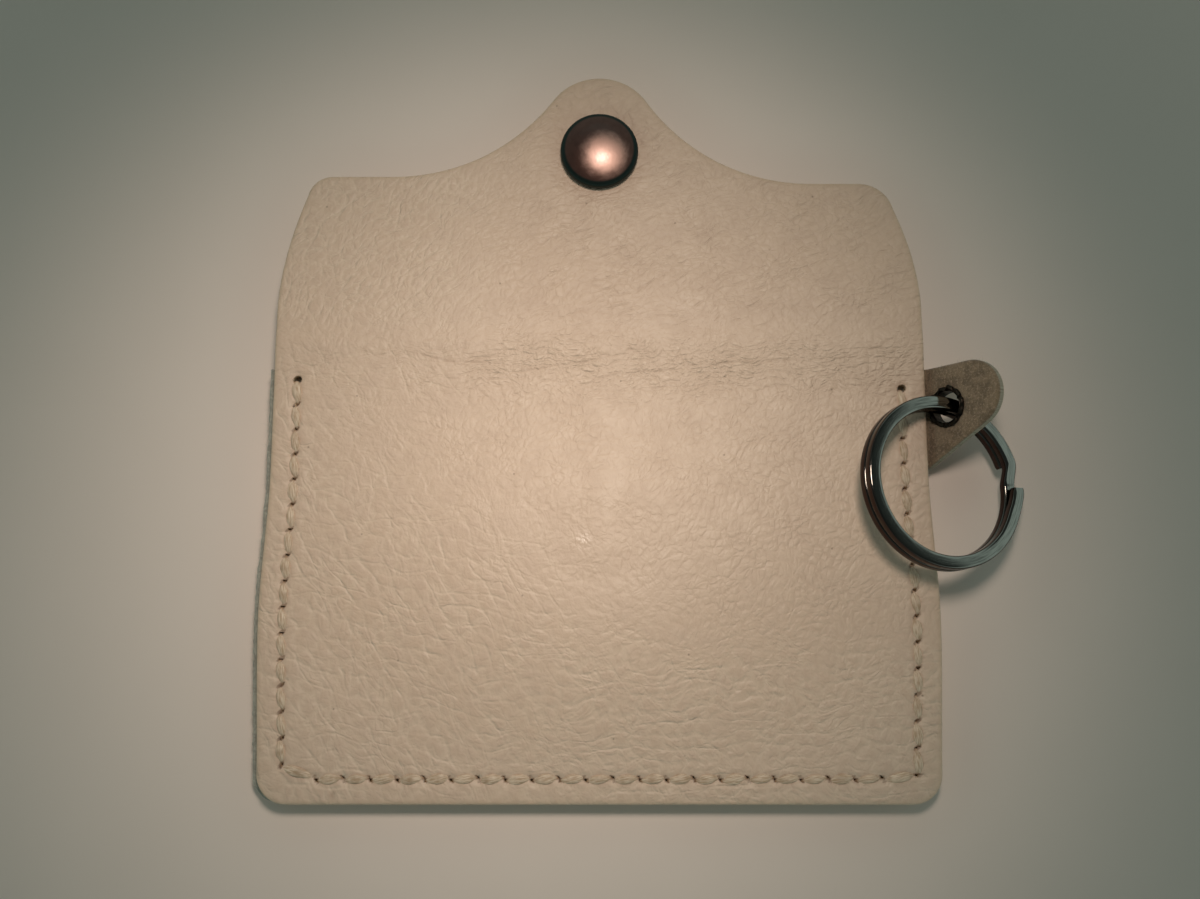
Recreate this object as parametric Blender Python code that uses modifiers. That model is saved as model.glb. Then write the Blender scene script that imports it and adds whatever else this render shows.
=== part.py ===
"""Keychain card wallet: a folded leather card sleeve with a snap flap, an eyelet tab and a split ring.

The wallet lies open with its back up: the front panel, with the snap stud, faces the table.
Metres, +Z up. The origin is the foot of the stud, +Y runs to the flap and +X to the key tab.
"""

import bmesh
import bpy
from math import acos, atan2, ceil, cos, degrees, hypot, pi, radians, sin, sqrt
from mathutils import Matrix, Vector

# Leather and clearances
LEATHER = 0.0015
SPLIT_GAP = 0.0003
SEAT_GAP = 0.0001
SEAM_GAP = 0.00015
SNAP_PLAY = 0.00015

# Outline of the folded body
SNAP_SPAN = 0.0635
SPINE_WIDTH = 0.0064
BOTTOM_Y = -0.0382
BELLY_Y = -0.0110
BELLY_HALF_WIDTH = 0.0517
FOOT_DRAWN_IN = 0.0008
MOUTH_DRAWN_IN = 0.0010
BOTTOM_CORNER = 0.0045
FRONT_PROUD_LEFT = 0.0009
MOUTH_DROP = 0.0006

# Outline of the flap, which was cut by hand: its left shoulder is higher and sharper
STRAIGHT_ABOVE_FOLD = 0.00355
SHOULDER_DRAWN_IN = 0.0045
TAPER_BULGE = 0.0007
LEFT_SHOULDER_BELOW_SNAP = 0.0037
RIGHT_SHOULDER_BELOW_SNAP = 0.0049
LEFT_SHOULDER_RADIUS = 0.0040
RIGHT_SHOULDER_RADIUS = 0.0055
TIP_RADIUS = 0.0092
TIP_ABOVE_SNAP = 0.0040
SWEEP_RADIUS = 0.0320

# How the sheets lie: the stud and the socket hold them off the table
STUD_STAND = 0.0033
SOCKET_STAND = 0.0033
SNAP_ENGAGE = 0.0017
HEM_LIFT = 0.0008
SHOULDER_LIFT = 0.0030
SPINE_HUMP = 0.0003
CROWN_CORE = 0.20
POCKET_EASE = 0.0180
FLAP_SEAT_RADIUS = 0.0065
FLAP_SEAT_EASE = 0.0150

# Saddle stitch
STITCH_INSET = 0.0037
LEFT_FIRST_BELOW_FOLD = 0.00265
RIGHT_FIRST_BELOW_FOLD = 0.00405
LEFT_LAST_ABOVE_BOTTOM = 0.00575
RIGHT_LAST_ABOVE_BOTTOM = 0.00435
SIDE_PITCH = 0.0039
BOTTOM_PITCH = 0.0040
BOTTOM_ROW_LEAD = 0.0052
THREAD_RADIUS = 0.00027
THREAD_SIDE = 0.00035
THREAD_PLAY = 0.00008

# Snap fastener
CAP_RADIUS = 0.00625
CAP_HEIGHT = 0.0030
CAP_DOME_RADIUS = 0.0120
CAP_SHOULDER = 0.0008
CAP_LIP = 0.0004
CAP_LIP_RETURN = 0.0009
CAP_SHELL = 0.00035
CAP_FLANGE = 0.0003
POST_RADIUS = 0.0012
POST_BORE = 0.00085
POST_FLARE = 0.0010
POST_FLARE_REACH = 0.0008
ROLL_SHARE = 0.35
BELL_SHARE = 0.40
LEDGE_SHARE = 0.85
STUD_POST_FLANGE_RADIUS = 0.0046
STUD_POST_FLANGE = 0.0005
STUD_POST_RIM = 0.0002
SOCKET_RADIUS = 0.0056
SOCKET_FLANGE = 0.00035
SOCKET_ROUND = 0.0004
SPRING_WIRE = 0.00028
SPRING_HEIGHT = 0.00095
SPRING_PLAY = 0.00017
SPRING_OPENING = 30.0
CHAMBER_BEVEL = 0.0001
STUD_FLANGE_RADIUS = 0.0052
STUD_RIM = 0.0004
STUD_BULGE_RADIUS = 0.0023
STUD_BULGE_LOW = 0.0004
STUD_BULGE_HIGH = 0.0007
STUD_NECK_RADIUS = 0.0019
STUD_NECK_LOW = 0.0011
STUD_NECK_FILLET = 0.0003
STUD_FOOT_RADIUS = 0.0017
STUD_WALL = 0.0004

# Key tab and its eyelet
TAB_ROOT_BREADTH = 0.01595
TAB_LENGTH = 0.01385
TAB_END_RADIUS = 0.0053
TAB_BEND_RADIUS = 0.0013
TAB_RISE = radians(52.0)
EYELET_REACH = 0.0045
EYELET_BELOW_TOP = 0.00665
EYELET_BORE = 0.00245
EYELET_WALL = 0.0003
EYELET_ROLL_RADIUS = 0.00325
EYELET_FLANGE_RADIUS = 0.0036

# Split ring
RING_RADIUS = 0.01238
WIRE_WIDTH = 0.0020
WIRE_HEIGHT = 0.00145
WIRE_ROUND = 0.00035
TURN_GAP = 0.00012
RING_TILT = radians(20.0)
RING_TILT_TOWARDS = radians(15.0)
RING_AT_EYELET = radians(77.0)
RING_START = radians(-2.0)
JOG_START = radians(16.0)
JOG_SWEEP = radians(14.0)
RING_END_REST = radians(4.0)
START_SPRING_OUT = 0.0005
START_SPRING_SWEEP = radians(22.0)

# Facets
BODY_COLUMNS = 22
BODY_ROWS = 15
SPINE_COLUMNS = 12
SPINE_ROWS = 6
FLAP_COLUMNS = 30
FLAP_ROWS = 9
TURN_WEIGHT = 0.0060
TAB_COLUMNS = 12
TAB_ROWS = 8
TAB_CROWDING = 1.7
TURNED_STEPS = 32
BORE_STEPS = 20
RING_STEP = radians(8.0)

# Places that follow from the sizes
FOLD_LOW_Y = (SNAP_SPAN - SPINE_WIDTH) / 2
FOLD_HIGH_Y = (SNAP_SPAN + SPINE_WIDTH) / 2
FOLD_Z = (SPINE_WIDTH + SNAP_ENGAGE) / 2
FOOT_HALF_WIDTH = BELLY_HALF_WIDTH - FOOT_DRAWN_IN
MOUTH_HALF_WIDTH = BELLY_HALF_WIDTH - MOUTH_DRAWN_IN
SHOULDER_HALF_WIDTH = MOUTH_HALF_WIDTH - SHOULDER_DRAWN_IN
TAPER_Y = FOLD_HIGH_Y + STRAIGHT_ABOVE_FOLD
LEFT_SHOULDER_Y = SNAP_SPAN - LEFT_SHOULDER_BELOW_SNAP
RIGHT_SHOULDER_Y = SNAP_SPAN - RIGHT_SHOULDER_BELOW_SNAP
FRONT_TOP_Y = FOLD_LOW_Y - MOUTH_DROP
TAB_ROOT_Y = FRONT_TOP_Y - TAB_ROOT_BREADTH
EYELET_Y = FRONT_TOP_Y - EYELET_BELOW_TOP
HEM_Z = HEM_LIFT + LEATHER + SEAM_GAP
STUD_SEAT_Z = STUD_STAND + SEAT_GAP
POST_FLANGE_Z = STUD_SEAT_Z + LEATHER + SEAT_GAP
CROWN_Z = POST_FLANGE_Z + STUD_POST_FLANGE + SPLIT_GAP
POCKET_GAP = CROWN_Z - STUD_SEAT_Z - LEATHER
FLAP_SEAT_Z = SOCKET_STAND + SEAT_GAP
CAP_Z = FLAP_SEAT_Z + LEATHER + SEAT_GAP
POST_HOLE_RADIUS = POST_RADIUS + SPLIT_GAP
SNAP_AT = Vector((0.0, SNAP_SPAN, 0.0))
TAB_X = MOUTH_HALF_WIDTH + SPLIT_GAP

COLLECTION = "keychain_card_wallet"
LEATHER_FINISH = ("ivory_leather", (0.66, 0.50, 0.36), 0.55, 0.0)
SUEDE_FINISH = ("grey_brown_suede", (0.13, 0.10, 0.07), 0.95, 0.0)
THREAD_FINISH = ("cream_waxed_thread", (0.55, 0.43, 0.29), 0.60, 0.0)
NICKEL_FINISH = ("black_nickel", (0.08, 0.08, 0.09), 0.18, 1.0)
SPRING_FINISH = ("spring_steel", (0.45, 0.45, 0.46), 0.30, 1.0)


def clear_scene():
    for item in list(bpy.data.objects):
        bpy.data.objects.remove(item, do_unlink=True)


def new_collection(name):
    group = bpy.data.collections.new(name)
    bpy.context.scene.collection.children.link(group)
    return group


def finish(name, colour, roughness, metallic):
    material = bpy.data.materials.get(name)
    if material is None:
        material = bpy.data.materials.new(name)
        material.use_nodes = True
        shader = material.node_tree.nodes["Principled BSDF"]
        shader.inputs["Base Color"].default_value = (*colour, 1.0)
        shader.inputs["Roughness"].default_value = roughness
        shader.inputs["Metallic"].default_value = metallic
    return material


def add_piece(name, mesh, group, look, carrier=None):
    piece = bpy.data.objects.new(name, mesh)
    group.objects.link(piece)
    if look:
        mesh.materials.append(finish(*look))
    if carrier:
        piece.parent = carrier
        piece.matrix_parent_inverse = Matrix.Translation(carrier["place"]).inverted()
    return piece


def add_axis(name, place, group, carrier=None):
    """An empty on a joint's axis, which carries the pieces that turn about it."""
    axis = bpy.data.objects.new(name, None)
    group.objects.link(axis)
    axis["place"] = place
    axis.empty_display_size = 0.004
    if carrier:
        axis.parent = carrier
        axis.location = Vector(place) - Vector(carrier["place"])
    else:
        axis.location = place
    return axis


def cut(piece, cutter, name):
    modifier = piece.modifiers.new(name, "BOOLEAN")
    modifier.operation = "DIFFERENCE"
    modifier.solver = "EXACT"
    modifier.object = cutter


def add_cutter(name, shape, group):
    mesh = bpy.data.meshes.new(name)
    shape.to_mesh(mesh)
    shape.free()
    cutter = add_piece(name, mesh, group, None)
    cutter.hide_render = True
    cutter.display_type = "WIRE"
    return cutter


def ease(value):
    value = min(max(value, 0.0), 1.0)
    return value * value * (3.0 - 2.0 * value)


def mix(low, high, share):
    return low + (high - low) * share


# Outlines

def half_width(y):
    """The body bulges a little below its middle."""
    if y < BELLY_Y:
        return mix(BELLY_HALF_WIDTH, FOOT_HALF_WIDTH, ease((BELLY_Y - y) / (BELLY_Y - BOTTOM_Y)))
    return mix(BELLY_HALF_WIDTH, MOUTH_HALF_WIDTH, ease((y - BELLY_Y) / (TAB_ROOT_Y - BELLY_Y)))


def fillet(before, corner, after, radius, steps=6):
    """Points of the arc that rounds a corner between two straight neighbours."""
    back = (before - corner).normalized()
    ahead = (after - corner).normalized()
    half_angle = back.angle(ahead) / 2
    centre = corner + (back + ahead).normalized() * radius / sin(half_angle)
    first = corner + back * radius * cos(half_angle) / sin(half_angle) - centre
    last = corner + ahead * radius * cos(half_angle) / sin(half_angle) - centre
    sweep = first.angle_signed(last)
    return [centre + Matrix.Rotation(-sweep * i / steps, 2) @ first for i in range(steps + 1)]


def resample(points, count, crowding=1.0):
    """Count + 1 points along a line of points, closer together where it turns.

    Crowding above 1 also draws them towards the start.
    """
    legs = [b - a for a, b in zip(points, points[1:])]
    turns = [0.0] + [a.angle(b) for a, b in zip(legs, legs[1:])] + [0.0]
    reached = [0.0]
    for leg, before, after in zip(legs, turns, turns[1:]):
        reached.append(reached[-1] + leg.length + TURN_WEIGHT * (before + after) / 2)
    result = []
    leg = 0
    for i in range(count + 1):
        reach = reached[-1] * (i / count) ** crowding
        while leg < len(legs) - 1 and reached[leg + 1] < reach:
            leg += 1
        share = (reach - reached[leg]) / (reached[leg + 1] - reached[leg])
        result.append(points[leg].lerp(points[leg + 1], min(max(share, 0.0), 1.0)))
    return result


def split_at_middle(arc):
    middle = len(arc) // 2
    return arc[:middle + 1], arc[middle:]


def body_outline(top_y, left_extra=0.0):
    """Bottom, top, left and right lines of a body panel, with rounded bottom corners."""
    def side(sign, extra):
        rows = 10
        start = BOTTOM_Y + BOTTOM_CORNER
        heights = [mix(start, top_y, i / rows) for i in range(rows + 1)]
        return [Vector((sign * (half_width(y) + extra), y)) for y in heights]

    left = side(-1, left_extra)
    right = side(1, 0.0)
    low_left = Vector((left[0].x, BOTTOM_Y))
    low_right = Vector((right[0].x, BOTTOM_Y))
    round_left = fillet(left[0], low_left, low_right, BOTTOM_CORNER)
    round_right = fillet(right[0], low_right, low_left, BOTTOM_CORNER)
    left_upper, left_lower = split_at_middle(round_left)
    right_upper, right_lower = split_at_middle(round_right)
    return {
        "bottom": left_lower + right_lower[::-1],
        "top": [left[-1], right[-1]],
        "left": left_upper[::-1] + left[1:],
        "right": right_upper[::-1] + right[1:],
    }


def sweep_and_tip(sign, shoulder_y):
    """From the shoulder's straight run over the hollow sweep to the top of the round tip."""
    tip = Vector((0.0, SNAP_SPAN + TIP_ABOVE_SNAP))
    drop = tip.y - shoulder_y
    reach = sqrt((SWEEP_RADIUS + TIP_RADIUS) ** 2 - (SWEEP_RADIUS - drop) ** 2)
    hollow = Vector((sign * reach, shoulder_y + SWEEP_RADIUS))
    meet = atan2(hollow.y - tip.y, reach)
    points = []
    steps = 10
    for i in range(steps + 1):
        angle = mix(-pi / 2, -pi + meet, i / steps)
        points.append(hollow + SWEEP_RADIUS * Vector((sign * cos(angle), sin(angle))))
    for i in range(1, steps + 1):
        angle = mix(meet, pi / 2, i / steps)
        points.append(tip + TIP_RADIUS * Vector((sign * cos(angle), sin(angle))))
    return points


def flap_side(sign, shoulder_y, radius):
    """One side of the flap up to the middle of its shoulder, and the shoulder's upper half."""
    root = Vector((sign * half_width(FOLD_LOW_Y), FOLD_HIGH_Y + SPLIT_GAP / 2))
    waist = Vector((root.x, TAPER_Y))
    corner = Vector((sign * SHOULDER_HALF_WIDTH, shoulder_y))
    arc = fillet(waist, corner, Vector((0.0, shoulder_y)), radius)
    line = [root]
    steps = 8
    for i in range(steps + 1):
        share = i / steps
        point = waist.lerp(arc[0], share)
        point.x += sign * TAPER_BULGE * 4 * share * (1 - share)
        line.append(point)
    lower, upper = split_at_middle(arc)
    return line + lower[1:], upper


def flap_outline():
    left, left_upper = flap_side(-1, LEFT_SHOULDER_Y, LEFT_SHOULDER_RADIUS)
    right, right_upper = flap_side(1, RIGHT_SHOULDER_Y, RIGHT_SHOULDER_RADIUS)
    over_left = sweep_and_tip(-1, LEFT_SHOULDER_Y)
    over_right = sweep_and_tip(1, RIGHT_SHOULDER_Y)
    top = left_upper + over_left + over_right[::-1][1:] + right_upper[::-1]
    return {"bottom": [left[0], right[0]], "top": top, "left": left, "right": right}


def tab_outline():
    """The tab laid flat: x along it from the panel's edge, y as on the wallet."""
    centre = Vector((TAB_LENGTH - TAB_END_RADIUS, FRONT_TOP_Y - TAB_END_RADIUS))
    root_low = Vector((0.0, TAB_ROOT_Y))
    back = root_low - centre
    tangent = atan2(back.y, back.x) + acos(TAB_END_RADIUS / back.length)
    steps = 12
    arc = []
    for i in range(steps + 1):
        angle = mix(pi / 2, tangent, i / steps)
        arc.append(centre + TAB_END_RADIUS * Vector((cos(angle), sin(angle))))
    third = steps // 3
    root_high = Vector((0.0, FRONT_TOP_Y))
    return {
        "bottom": [root_low] + arc[2 * third:][::-1],
        "top": [root_high] + arc[:third + 1],
        "left": [root_low, root_high],
        "right": arc[third:2 * third + 1][::-1],
    }


# How the sheets lie

def seam_height(y):
    return mix(HEM_Z, FOLD_Z, (y - BOTTOM_Y) / (FOLD_LOW_Y - BOTTOM_Y))


def back_underside(x, y):
    """The back panel is held up over the stud's post and comes down to its seams and its fold."""
    reach_y = FOLD_LOW_Y if y > 0 else -BOTTOM_Y
    away = hypot(x / (BELLY_HALF_WIDTH - STITCH_INSET), y / reach_y)
    return mix(CROWN_Z, seam_height(y), ease((away - CROWN_CORE) / (1 - CROWN_CORE)))


def pocket_gap(x, y):
    from_side = (BELLY_HALF_WIDTH - STITCH_INSET - abs(x)) / POCKET_EASE
    from_bottom = (y - BOTTOM_Y - STITCH_INSET) / POCKET_EASE
    return mix(SEAM_GAP, POCKET_GAP, ease(from_side) * ease(from_bottom))


def front_underside(x, y):
    return back_underside(x, y) - pocket_gap(x, y) - LEATHER


def spine_underside(x, y):
    """Between its two creases the fold keeps a slight hump from being closed."""
    across = (y - FOLD_LOW_Y) / SPINE_WIDTH
    return FOLD_Z + SPINE_HUMP * sin(pi * across) ** 2


def flap_underside(x, y):
    """The flap comes down from the fold to its shoulders and lies flat on the socket."""
    share = (y - FOLD_HIGH_Y) / (RIGHT_SHOULDER_Y - FOLD_HIGH_Y)
    slope = mix(FOLD_Z, SHOULDER_LIFT, ease(share))
    away = (hypot(x, y - SNAP_SPAN) - FLAP_SEAT_RADIUS) / FLAP_SEAT_EASE
    return mix(FLAP_SEAT_Z, slope, ease(away))


def tab_place(along, y, above):
    """A point of the tab: it leaves the panel level, bends up and then runs straight."""
    root_z = front_underside(MOUTH_HALF_WIDTH, EYELET_Y) + LEATHER / 2
    bend = TAB_BEND_RADIUS * TAB_RISE
    angle = min(along / TAB_BEND_RADIUS, TAB_RISE)
    straight = max(along - bend, 0.0)
    x = TAB_X + TAB_BEND_RADIUS * sin(angle) + straight * cos(angle)
    z = root_z + TAB_BEND_RADIUS * (1 - cos(angle)) + straight * sin(angle)
    return Vector((x - above * sin(angle), y, z + above * cos(angle)))


# Leather sheets

def patch(outline, columns, rows, crowding):
    """A grid of quads that fills four lines, which meet at their ends."""
    low = resample(outline["bottom"], columns, crowding)
    high = resample(outline["top"], columns, crowding)
    left = resample(outline["left"], rows)
    right = resample(outline["right"], rows)
    shape = bmesh.new()
    bmesh.ops.create_grid(shape, x_segments=columns, y_segments=rows, size=1.0)
    for point in shape.verts:
        i = round((point.co.x + 1) / 2 * columns)
        j = round((point.co.y + 1) / 2 * rows)
        u = (i / columns) ** crowding
        v = j / rows
        across = left[j].lerp(right[j], u)
        upward = low[i].lerp(high[i], v)
        corners = low[0].lerp(low[-1], u).lerp(high[0].lerp(high[-1], u), v)
        flat = across + upward - corners
        point.co = (flat.x, flat.y, 0.0)
    return shape


def leather_sheet(name, outline, columns, rows, place, group, look, carrier=None, crowding=1.0):
    """A sheet whose underside lies where place puts it, thickened upwards."""
    shape = patch(outline, columns, rows, crowding)
    for point in shape.verts:
        point.co = place(point.co.x, point.co.y)
    mesh = bpy.data.meshes.new(name)
    shape.to_mesh(mesh)
    shape.free()
    sheet = add_piece(name, mesh, group, look, carrier)
    thicken = sheet.modifiers.new("leather", "SOLIDIFY")
    thicken.thickness = LEATHER
    thicken.offset = 1.0
    thicken.use_even_offset = True
    return sheet


def lying(underside):
    return lambda x, y: Vector((x, y, underside(x, y)))


# Stitching

def pricked(first, last, pitch):
    """Holes spaced evenly from the first to the last, as near to the iron's pitch as fits."""
    gaps = max(1, round(abs(last - first) / pitch))
    return [mix(first, last, i / gaps) for i in range(gaps + 1)]


def stitch_places():
    """Centre and direction of each awl hole, down the left side, along and up the right."""
    left_first = FOLD_LOW_Y - LEFT_FIRST_BELOW_FOLD
    right_first = FOLD_LOW_Y - RIGHT_FIRST_BELOW_FOLD
    left = pricked(left_first, BOTTOM_Y + LEFT_LAST_ABOVE_BOTTOM, SIDE_PITCH)
    right = pricked(BOTTOM_Y + RIGHT_LAST_ABOVE_BOTTOM, right_first, SIDE_PITCH)
    reach = FOOT_HALF_WIDTH - STITCH_INSET - BOTTOM_ROW_LEAD
    along = pricked(-reach, reach, BOTTOM_PITCH)
    places = [Vector((STITCH_INSET - half_width(y), y)) for y in left]
    places += [Vector((x, BOTTOM_Y + STITCH_INSET)) for x in along]
    places += [Vector((half_width(y) - STITCH_INSET, y)) for y in right]
    legs = [(b - a).normalized() for a, b in zip(places, places[1:])]
    arriving = legs[:1] + legs
    leaving = legs + legs[-1:]
    return [(place, (a + b).normalized()) for place, a, b in zip(places, arriving, leaving)]


def needle_offset(direction, side):
    """Where one needle passes inside a hole: the two lie side by side across the seam."""
    return side * THREAD_SIDE * Vector((-direction.y, direction.x))


def awl_holes(group):
    half_length = THREAD_SIDE + THREAD_RADIUS + THREAD_PLAY
    half_breadth = THREAD_RADIUS + THREAD_PLAY
    shape = bmesh.new()
    for place, direction in stitch_places():
        across = needle_offset(direction, 1)
        turn = Matrix.Rotation(atan2(across.y, across.x), 4, "Z")
        size = Matrix.Diagonal((2 * half_length, 2 * half_breadth, 6 * LEATHER, 1.0))
        centre = Matrix.Translation((place.x, place.y, back_underside(place.x, place.y)))
        bmesh.ops.create_cube(shape, size=1.0, matrix=centre @ turn @ size)
    return add_cutter("awl_holes", shape, group)


def stitch_route(side, first_on_top):
    """The way of one needle: over one gap, through the hole, under the next gap."""
    places = stitch_places()
    points = []
    for i, (place, direction) in enumerate(places):
        spot = place + needle_offset(direction, side)
        back_top = back_underside(spot.x, spot.y) + LEATHER
        front_low = front_underside(spot.x, spot.y)
        over = Vector((spot.x, spot.y, back_top + SEAT_GAP + THREAD_RADIUS))
        under = Vector((spot.x, spot.y, front_low - SEAT_GAP - THREAD_RADIUS))
        inside = (over + under) / 2
        arrives_on_top = (i % 2 == 1) == first_on_top
        if i == 0:
            points += [inside, over if first_on_top else under]
        elif i == len(places) - 1:
            points += [over if arrives_on_top else under, inside]
        elif arrives_on_top:
            points += [over, under]
        else:
            points += [under, over]
    return points


def tube(name, points, radius, resolution, group, look, carrier=None):
    """A round wire along points, with closed ends."""
    line = bpy.data.curves.new(name, "CURVE")
    line.dimensions = "3D"
    line.bevel_depth = radius
    line.bevel_resolution = resolution
    line.use_fill_caps = True
    spline = line.splines.new("POLY")
    spline.points.add(len(points) - 1)
    for target, point in zip(spline.points, points):
        target.co = (*point, 1.0)
    return add_piece(name, line, group, look, carrier)


# Turned metal pieces

def turned(name, profile, place, group, look, carrier=None, steps=TURNED_STEPS):
    """A profile of (radius, height) points turned about Z; it is closed unless it ends on Z."""
    mesh = bpy.data.meshes.new(name)
    shape = bmesh.new()
    corners = [shape.verts.new((radius, 0.0, height)) for radius, height in profile]
    for a, b in zip(corners, corners[1:]):
        shape.edges.new((a, b))
    if profile[0][0] > 0 and profile[-1][0] > 0:
        shape.edges.new((corners[-1], corners[0]))
    shape.to_mesh(mesh)
    shape.free()
    piece = add_piece(name, mesh, group, look, carrier)
    piece.location = place
    lathe = piece.modifiers.new("lathe", "SCREW")
    lathe.axis = "Z"
    lathe.steps = steps
    lathe.render_steps = steps
    lathe.use_merge_vertices = True
    lathe.merge_threshold = 0.000001
    lathe.use_smooth_shade = True
    return piece


def arc_points(centre_r, centre_z, radius, start, end, steps):
    """Points of (radius, height) along an arc given in degrees."""
    angles = [radians(mix(start, end, i / steps)) for i in range(steps + 1)]
    return [(centre_r + radius * cos(a), centre_z + radius * sin(a)) for a in angles]


def cap_profile():
    """A round dome that runs smoothly into the shoulder, and a lip rolled in at the bottom."""
    turn_radius = CAP_RADIUS - CAP_SHOULDER
    dome_z = CAP_HEIGHT - CAP_DOME_RADIUS
    turn_z = dome_z + sqrt((CAP_DOME_RADIUS - CAP_SHOULDER) ** 2 - turn_radius ** 2)
    meet = degrees(atan2(turn_z - dome_z, turn_radius))
    lip_radius = CAP_RADIUS - CAP_LIP_RETURN
    outside = arc_points(0.0, dome_z, CAP_DOME_RADIUS, 90, meet, 5)
    outside += arc_points(turn_radius, turn_z, CAP_SHOULDER, meet, 0, 4)[1:]
    outside += arc_points(CAP_RADIUS - CAP_LIP, CAP_LIP, CAP_LIP, 0, -90, 3)
    rolled = [(lip_radius, 0.0), (lip_radius, CAP_SHELL)]
    rolled += [(CAP_RADIUS - CAP_SHELL, CAP_SHELL + SEAT_GAP)]
    inside = arc_points(turn_radius, turn_z, CAP_SHOULDER - CAP_SHELL, 0, meet, 3)
    inside += arc_points(0.0, dome_z, CAP_DOME_RADIUS - CAP_SHELL, meet, 90, 4)[1:]
    return [(0.0, CAP_HEIGHT)] + outside[1:] + rolled + inside[:-1] + [(0.0, CAP_HEIGHT - CAP_SHELL)]


def flared_end(tip_z, flare_radius):
    """The rolled-over lower end of a tubular post, from its outside round to its bore."""
    return [
        (POST_RADIUS, tip_z + POST_FLARE),
        (flare_radius, tip_z + ROLL_SHARE * POST_FLARE),
        (flare_radius, tip_z),
        (POST_RADIUS, tip_z),
        (POST_BORE, tip_z + BELL_SHARE * POST_FLARE),
    ]


def cap_post_profile():
    flange_low = CAP_SHELL + 2 * SEAT_GAP
    flange_top = flange_low + CAP_FLANGE
    flange_radius = CAP_RADIUS - CAP_SHELL - SPLIT_GAP
    tip_z = SNAP_ENGAGE + 2 * SEAT_GAP - CAP_Z
    flange = [(0.0, flange_top), (flange_radius, flange_top), (flange_radius, flange_low)]
    stem = [(POST_RADIUS, flange_low)]
    bore = [(POST_BORE, flange_low - CAP_FLANGE), (0.0, flange_low - CAP_FLANGE)]
    return flange + stem + flared_end(tip_z, POST_RADIUS + POST_FLARE_REACH) + bore


def socket_profile():
    spring_centre = STUD_BULGE_RADIUS + SNAP_PLAY + SPRING_WIRE
    chamber = spring_centre + SPRING_WIRE + SPLIT_GAP
    mouth = STUD_BULGE_RADIUS + SNAP_PLAY
    floor = SPRING_HEIGHT - SPRING_WIRE - SPRING_PLAY
    ceiling = SPRING_HEIGHT + SPRING_WIRE + SPRING_PLAY
    box = chamber + CAP_SHELL + SPLIT_GAP
    ledge = SNAP_ENGAGE + 2 * SEAT_GAP + LEDGE_SHARE * POST_FLARE
    flange_low = SOCKET_STAND - SOCKET_FLANGE
    flare_room = POST_RADIUS + POST_FLARE
    outside = [(SOCKET_RADIUS, SOCKET_STAND), (SOCKET_RADIUS, flange_low)]
    outside += [(box + SOCKET_FLANGE, flange_low - SOCKET_FLANGE)]
    outside += [(box, flange_low - 2 * SOCKET_FLANGE)]
    outside += arc_points(box - SOCKET_ROUND, SOCKET_ROUND, SOCKET_ROUND, 0, -90, 3)
    inside = [(mouth, 0.0), (mouth, floor - CHAMBER_BEVEL), (chamber, floor)]
    inside += [(chamber, ceiling), (flare_room, ceiling + 2 * CHAMBER_BEVEL)]
    inside += [(flare_room, ledge)]
    inside += [(POST_HOLE_RADIUS, ledge), (POST_HOLE_RADIUS, SOCKET_STAND)]
    return outside + inside


def stud_profile():
    neck_inside = STUD_NECK_RADIUS - STUD_WALL
    flange_low = SNAP_ENGAGE + 2 * SPLIT_GAP
    inside = [(0.0, STUD_WALL), (neck_inside, STUD_WALL), (neck_inside, flange_low)]
    inside += [(POST_RADIUS + SNAP_PLAY, flange_low + STUD_WALL)]
    rim_radius = STUD_FLANGE_RADIUS - STUD_RIM
    top = [(POST_RADIUS + SNAP_PLAY, STUD_STAND), (rim_radius + STUD_RIM / 2, STUD_STAND)]
    edge = arc_points(rim_radius, STUD_STAND - 1.5 * STUD_RIM, STUD_RIM, 60, -60, 3)
    neck = [(STUD_NECK_RADIUS + 2 * STUD_NECK_FILLET, flange_low)]
    neck += [(STUD_NECK_RADIUS, flange_low - STUD_NECK_FILLET)]
    neck += [(STUD_NECK_RADIUS, STUD_NECK_LOW)]
    bulge = [(STUD_BULGE_RADIUS, STUD_BULGE_HIGH), (STUD_BULGE_RADIUS, STUD_BULGE_LOW)]
    return inside + top + edge + neck + bulge + [(STUD_FOOT_RADIUS, 0.0), (0.0, 0.0)]


def stud_post_profile():
    flange_top = STUD_POST_FLANGE
    rim = arc_points(STUD_POST_FLANGE_RADIUS - STUD_POST_RIM, flange_top - STUD_POST_RIM,
                     STUD_POST_RIM, 90, 0, 2)
    tip_z = STUD_WALL + SPLIT_GAP - POST_FLANGE_Z
    flare = STUD_NECK_RADIUS - STUD_WALL - SEAT_GAP
    bore = [(POST_BORE, -STUD_POST_FLANGE), (0.0, -STUD_POST_FLANGE)]
    stem = [(STUD_POST_FLANGE_RADIUS, 0.0), (POST_RADIUS, 0.0)]
    return [(0.0, flange_top)] + rim + stem + flared_end(tip_z, flare) + bore


def eyelet_profile():
    """About the tab's normal: the flange under the grain side, the roll over the suede side."""
    face = LEATHER / 2 + SEAT_GAP
    outer = EYELET_BORE + EYELET_WALL
    roll = (EYELET_ROLL_RADIUS - EYELET_BORE) / 2
    profile = arc_points(EYELET_BORE + roll, face, roll, 180, 0, 5)
    profile += [(outer, face), (outer, -face), (EYELET_FLANGE_RADIUS, -face)]
    profile += [(EYELET_FLANGE_RADIUS, -face - EYELET_WALL / 2)]
    profile += [(EYELET_FLANGE_RADIUS - EYELET_WALL, -face - EYELET_WALL)]
    profile += [(outer, -face - EYELET_WALL), (EYELET_BORE, -face)]
    return profile


def spring_points():
    radius = STUD_BULGE_RADIUS + SNAP_PLAY + SPRING_WIRE
    start = SPRING_OPENING / 2
    steps = 30
    angles = [radians(mix(start, 360 - start, i / steps)) for i in range(steps + 1)]
    return [Vector((radius * cos(a), radius * sin(a), SPRING_HEIGHT)) for a in angles]


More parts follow.
